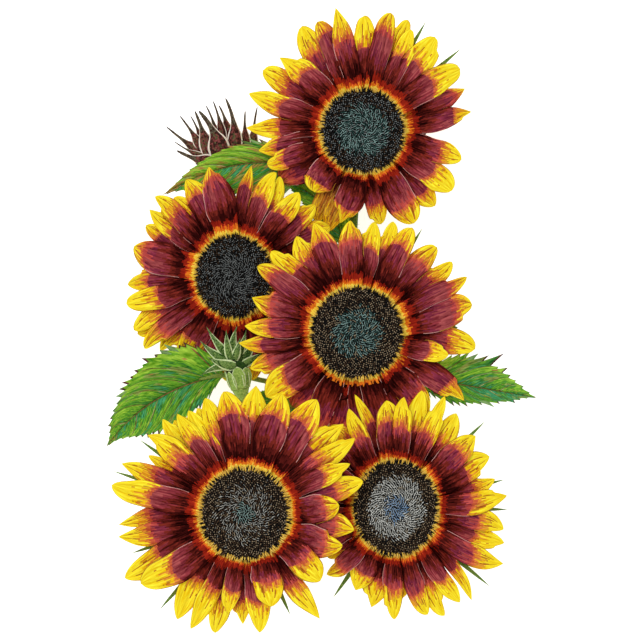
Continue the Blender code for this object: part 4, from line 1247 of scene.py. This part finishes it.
def leaf(kind, number):
    """Veined, toothed blade folded along its midrib, with its petiole."""
    weave = Weave()
    chance = np.random.default_rng(300 + number)
    base, bow, tip = (np.array(point, float) for point in (kind.base, kind.bow, kind.tip))
    rows, vein_side, centres = leaf_rows()
    edge = np.concatenate([[0, 0.013, 0.04], np.linspace(0.1, 0.965, 16), [1.0]])
    across = np.concatenate([-edge[:0:-1], edge])
    size = math.dist(base, tip)
    margin = rows + swept(rows)
    teeth = [leaf_teeth(margin, chance, kind.tooth) for _ in range(2)]
    if kind.spur:
        teeth[0] += (margin < kind.spur) * LEAF_SPUR * smooth(1 + (margin - kind.spur) / LEAF_SPUR_LENGTH)

    def blade(u, sink):
        t = np.clip(rows, 0, 1)[:, None]
        q, left = np.abs(u)[None], (u > 0)[None]
        tooth = np.where(left, teeth[0][:, None], teeth[1][:, None])
        place = np.clip(t + swept(t) * q**1.1 + tooth * 0.16 * q**8 * (1 - t), 0, 1)
        at = place[..., None]
        middle = (1 - at) ** 2 * base + 2 * at * (1 - at) * bow + at**2 * tip
        way = unit(2 * (1 - at) * (bow - base) + 2 * at * (tip - bow))
        side = unit(np.cross((0.0, 0.0, 1.0), way))
        up = np.cross(way, side)
        half, swell = (np.where(left, one, other) for one, other in zip(kind.left, kind.right))
        plain = np.sin(math.pi * place**swell)
        share = plain + tooth * q**8 * np.sqrt(plain) + 0.004
        share = share * (1 - LEAF_DRIP * smooth((place - 0.78) / 0.2))
        bank = (np.radians(kind.bank) + np.where(left, LEAF_FOLD, -LEAF_FOLD))[..., None]
        way_out = np.where(left, 1, -1)[..., None] * (side * np.cos(bank) + up * np.sin(bank))
        quilt = np.where(left, *(
            np.abs(np.sin(math.pi * between_veins(rows, centres, flag)))[:, None] ** 0.7 for flag in (1, -1)
        )) * np.sin(math.pi * q**0.8)
        rise = quilt * size * LEAF_QUILT
        rise = rise - size * LEAF_CREASE * np.exp(-((q / 0.05) ** 2)) * np.sin(math.pi * t**0.5)
        wave = np.sin(2 * math.pi * (2.3 * place + left * 0.4 + number * 0.3))
        rise = (rise + size * LEAF_WAVE * q**2 * wave - sink) * np.minimum(1, share * 6)
        return middle + (share * half * q)[..., None] * way_out + rise[..., None] * up

    under_across = np.array((-1, -0.66, -0.33, 0, 0.33, 0.66, 1))
    upper_map, lower_map = (
        map_places(low, 0.46, u, 0.01 + 0.98 * rows) for low, u in ((0.02, across), (0.52, under_across))
    )
    # The half of the leaf on the +Y side, towards the key light, is the bright side.
    bright_side = 1 if tip[0] > base[0] else -1
    look = LEAF_LOOKS.get(kind.name, LeafLook(0.0, 0.0))
    finish = leaf_finish(chance, rows, vein_side, centres, across, teeth, bright_side, look)
    add_lens(weave, blade(across, 0.0), blade(under_across, LEAF_SKIN), finish, LEAF_ZONE["under"],
             upper_map, lower_map)
    start = np.array(kind.stem_end, float)
    sag = (start + base) / 2 - np.array((0, 0, 0.2 * (base[2] - start[2])))
    inner = base + (bow - base) * 0.32 - np.array((0, 0, 0.7))
    radii = [PETIOLE_RADIUS * share for share in (1.2, 1.0, 1.0, 0.5)]
    route = [tuple(point) for point in (start, sag, base, inner)]
    add_tube(weave, chance, route, radii, LEAF_ZONE["olive"], sides=12, ribs=5, steps=10)
    return weave


def leaf_finish(chance, rows, vein_side, centres, across, teeth, bright_side, look):
    """Finish by face: moods from teal to lime with painted light and shade, brown patches, veins with a
    painted shadow on one side and a painted highlight on the other, a painted shadow by the midrib, and dark
    teeth.
    """
    along, u = middles(rows)[:, None], middles(across)[None]
    q = np.abs(u)
    cloud, patch, hatch = (
        wander(chance, len(rows) - 1, len(across) - 1, *grain) for grain in ((16, 7), (4, 3), (1.0, 2.6))
    )
    gap = np.where(u > 0, *(between_veins(along, centres, flag) % 1 for flag in (1, -1)))
    mood = 0.45 * cloud + 0.3 * patch + 0.5 * hatch + 0.5 * (q - 0.45)
    # The bright side is painted lighter and the other half darker: painted light and shade.
    mood = mood + np.where(u * bright_side > 0, 0.26, -0.12) + look.mood
    # Painted light and shade of the quilted blade: lighter just past each vein, darker towards the next.
    mood = mood + 0.45 * (0.45 - gap) * smooth(q / 0.2)
    own = np.where(u > 0, 1, -1) == vein_side[:, None]
    none = np.zeros_like(own[:1])
    standing = np.where(u > 0, middles(teeth[0])[:, None], middles(teeth[1])[:, None])
    return painted(
        chosen(np.digitize(mood, (-0.5, -0.12, 0.42)), LEAF_ZONE, "teal deep green lime"), LEAF_ZONE,
        ((cloud < -0.4) & (q > 0.3) & (patch > 0.2), "olive"),
        (patch + 0.6 * hatch + 2 * look.tan + smooth((along - 0.8) / 0.2) > 1.15, "tan"),
        # Painted shade in the row before each vein, and a painted highlight in the row after it.
        (np.vstack([own[1:], none]) & (q < 0.85), "deep"),
        (np.vstack([none, own[:-1]]) & (q < 0.7) & (hatch > 0.2), "pale"),
        (own & (q < 0.93), "vein"),
        # A painted shadow along the midrib's crease, with the brown midrib line in it.
        (q < 0.03, "deep"),
        (q < 0.02, "vein"),
        ((q > 0.95) & (standing > -0.02), "margin"),
    )


# ---------------- stage and camera
CAMERA_HEIGHT = 6.0
FRAME_WIDTH = 416 * MM  # across the photograph, at the height of the blooms
BLOOM_HEIGHT = 60 * MM
SENSOR_WIDTH = 36.0
FLOOR_REACH = 6.0
WHITE = (1.0, 1.0, 1.0, 1.0)
SKY_STRENGTH = 0.82
KEY_ENERGY, KEY_SPREAD, KEY_TURN = 0.95, math.radians(28), (math.radians(-24), math.radians(-20), 0)
FLOOR_GLOW = 0.7  # keeps the paper white under the soft light


def aim_camera():
    data = bpy.data.cameras.new("camera")
    data.sensor_width = SENSOR_WIDTH
    data.lens = SENSOR_WIDTH * (CAMERA_HEIGHT - BLOOM_HEIGHT) / FRAME_WIDTH
    data.clip_end = 100.0
    camera = linked("camera", data)
    camera.location = (SHIFT[0] * MM, SHIFT[1] * MM, CAMERA_HEIGHT)
    bpy.context.scene.camera = camera


def light_stage():
    world = bpy.data.worlds.new("studio")
    world.use_nodes = True
    wire(world.node_tree, world.node_tree.nodes["Background"], {"Color": WHITE, "Strength": SKY_STRENGTH})
    bpy.context.scene.world = world
    sun = bpy.data.lights.new("soft_key", "SUN")
    sun.energy, sun.angle = KEY_ENERGY, KEY_SPREAD
    linked("soft_key", sun).rotation_euler = KEY_TURN
    bpy.context.scene.view_settings.view_transform = "Standard"


def lay_floor():
    weave = Weave()
    signs = np.array(((-1, -1, 0), (1, -1, 0), (1, 1, 0), (-1, 1, 0)))
    weave.add_faces(weave.add_points(signs * FLOOR_REACH / MM - SHIFT) + np.arange(4), 0)
    paper = pattern("floor_paper", (250, 250, 249), (253, 253, 252), (300.0, 300.0, 300.0), roughness=0.85,
                    bump=0.02, specular=0.0)
    tree = paper.node_tree
    wire(tree, tree.nodes["Principled BSDF"], {"Emission Color": WHITE, "Emission Strength": FLOOR_GLOW})
    weave.make("floor", [paper])


# ---------------- the pieces
def dress(weave, name, node, slot, materials, mapped=False, sharp=None):
    """Makes the piece and lets it stand for its CAD node; its slot is not used."""
    piece = weave.make(name, materials, mapped, sharp)
    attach(piece, "root")
    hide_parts(node)


aim_camera()
light_stage()
lay_floor()

ray_grain = (RAY_MAP_SLOTS * 14.0, 5.0, 1.0)
rays = finishes("ray", RAY_ZONES, ray_grain, mapped=True, roughness=0.55, spread=0.16, specular=0.0)
discs = finishes("disc", DISC_TONES, roughness=0.75, bump=0.2)
bracts = finishes("bract", BRACT_TONES, roughness=0.7, bump=0.25, sheen=0.15)
stems = finishes("stem", STEM_TONES, (700.0, 700.0, 260.0))
leaves = finishes("leaf", LEAF_TONES, (30.0, 80.0, 1.0), mapped=True, roughness=0.5, bump=0.35, spread=0.17)
skins = [dealt_zones(skin) for skin in range(RAY_SKINS)] + [shaded_zones(), golden_zones(), dusky_zones()]
for head in HEADS:
    dress(ray_ring(head, skins), f"{head.name}_ray_florets", f"{head.name}_rays", "ray", rays, mapped=True)
    dress(disc_florets(head), f"{head.name}_disc_florets", f"{head.name}_disc", "disc", discs, sharp=50)
    dress(calyx(head), f"{head.name}_bracts", f"{head.name}_calyx", "bract", bracts)
    dress(head_stalk(head), f"{head.name}_ribbed_stalk", f"{head.name}_stalk", "stalk", stems)
for kind in BUDS:
    look = BUD_LOOKS[kind.name]
    scales = finishes(kind.name, look.tones, roughness=0.7, sheen=0.1)
    dress(bud(kind), f"{kind.name}_bracts", kind.name, look.slot, scales)
    dress(bud_stalk(kind), f"{kind.name}_ribbed_stalk", f"{kind.name}_stalk", "stalk", stems)
for number, kind in enumerate(LEAVES):
    dress(leaf(kind, number), f"{kind.name}_veined", kind.name, "leaf", leaves, mapped=True)
dress(main_stem(), "main_ribbed_stem", "main_stem", "stem", stems)
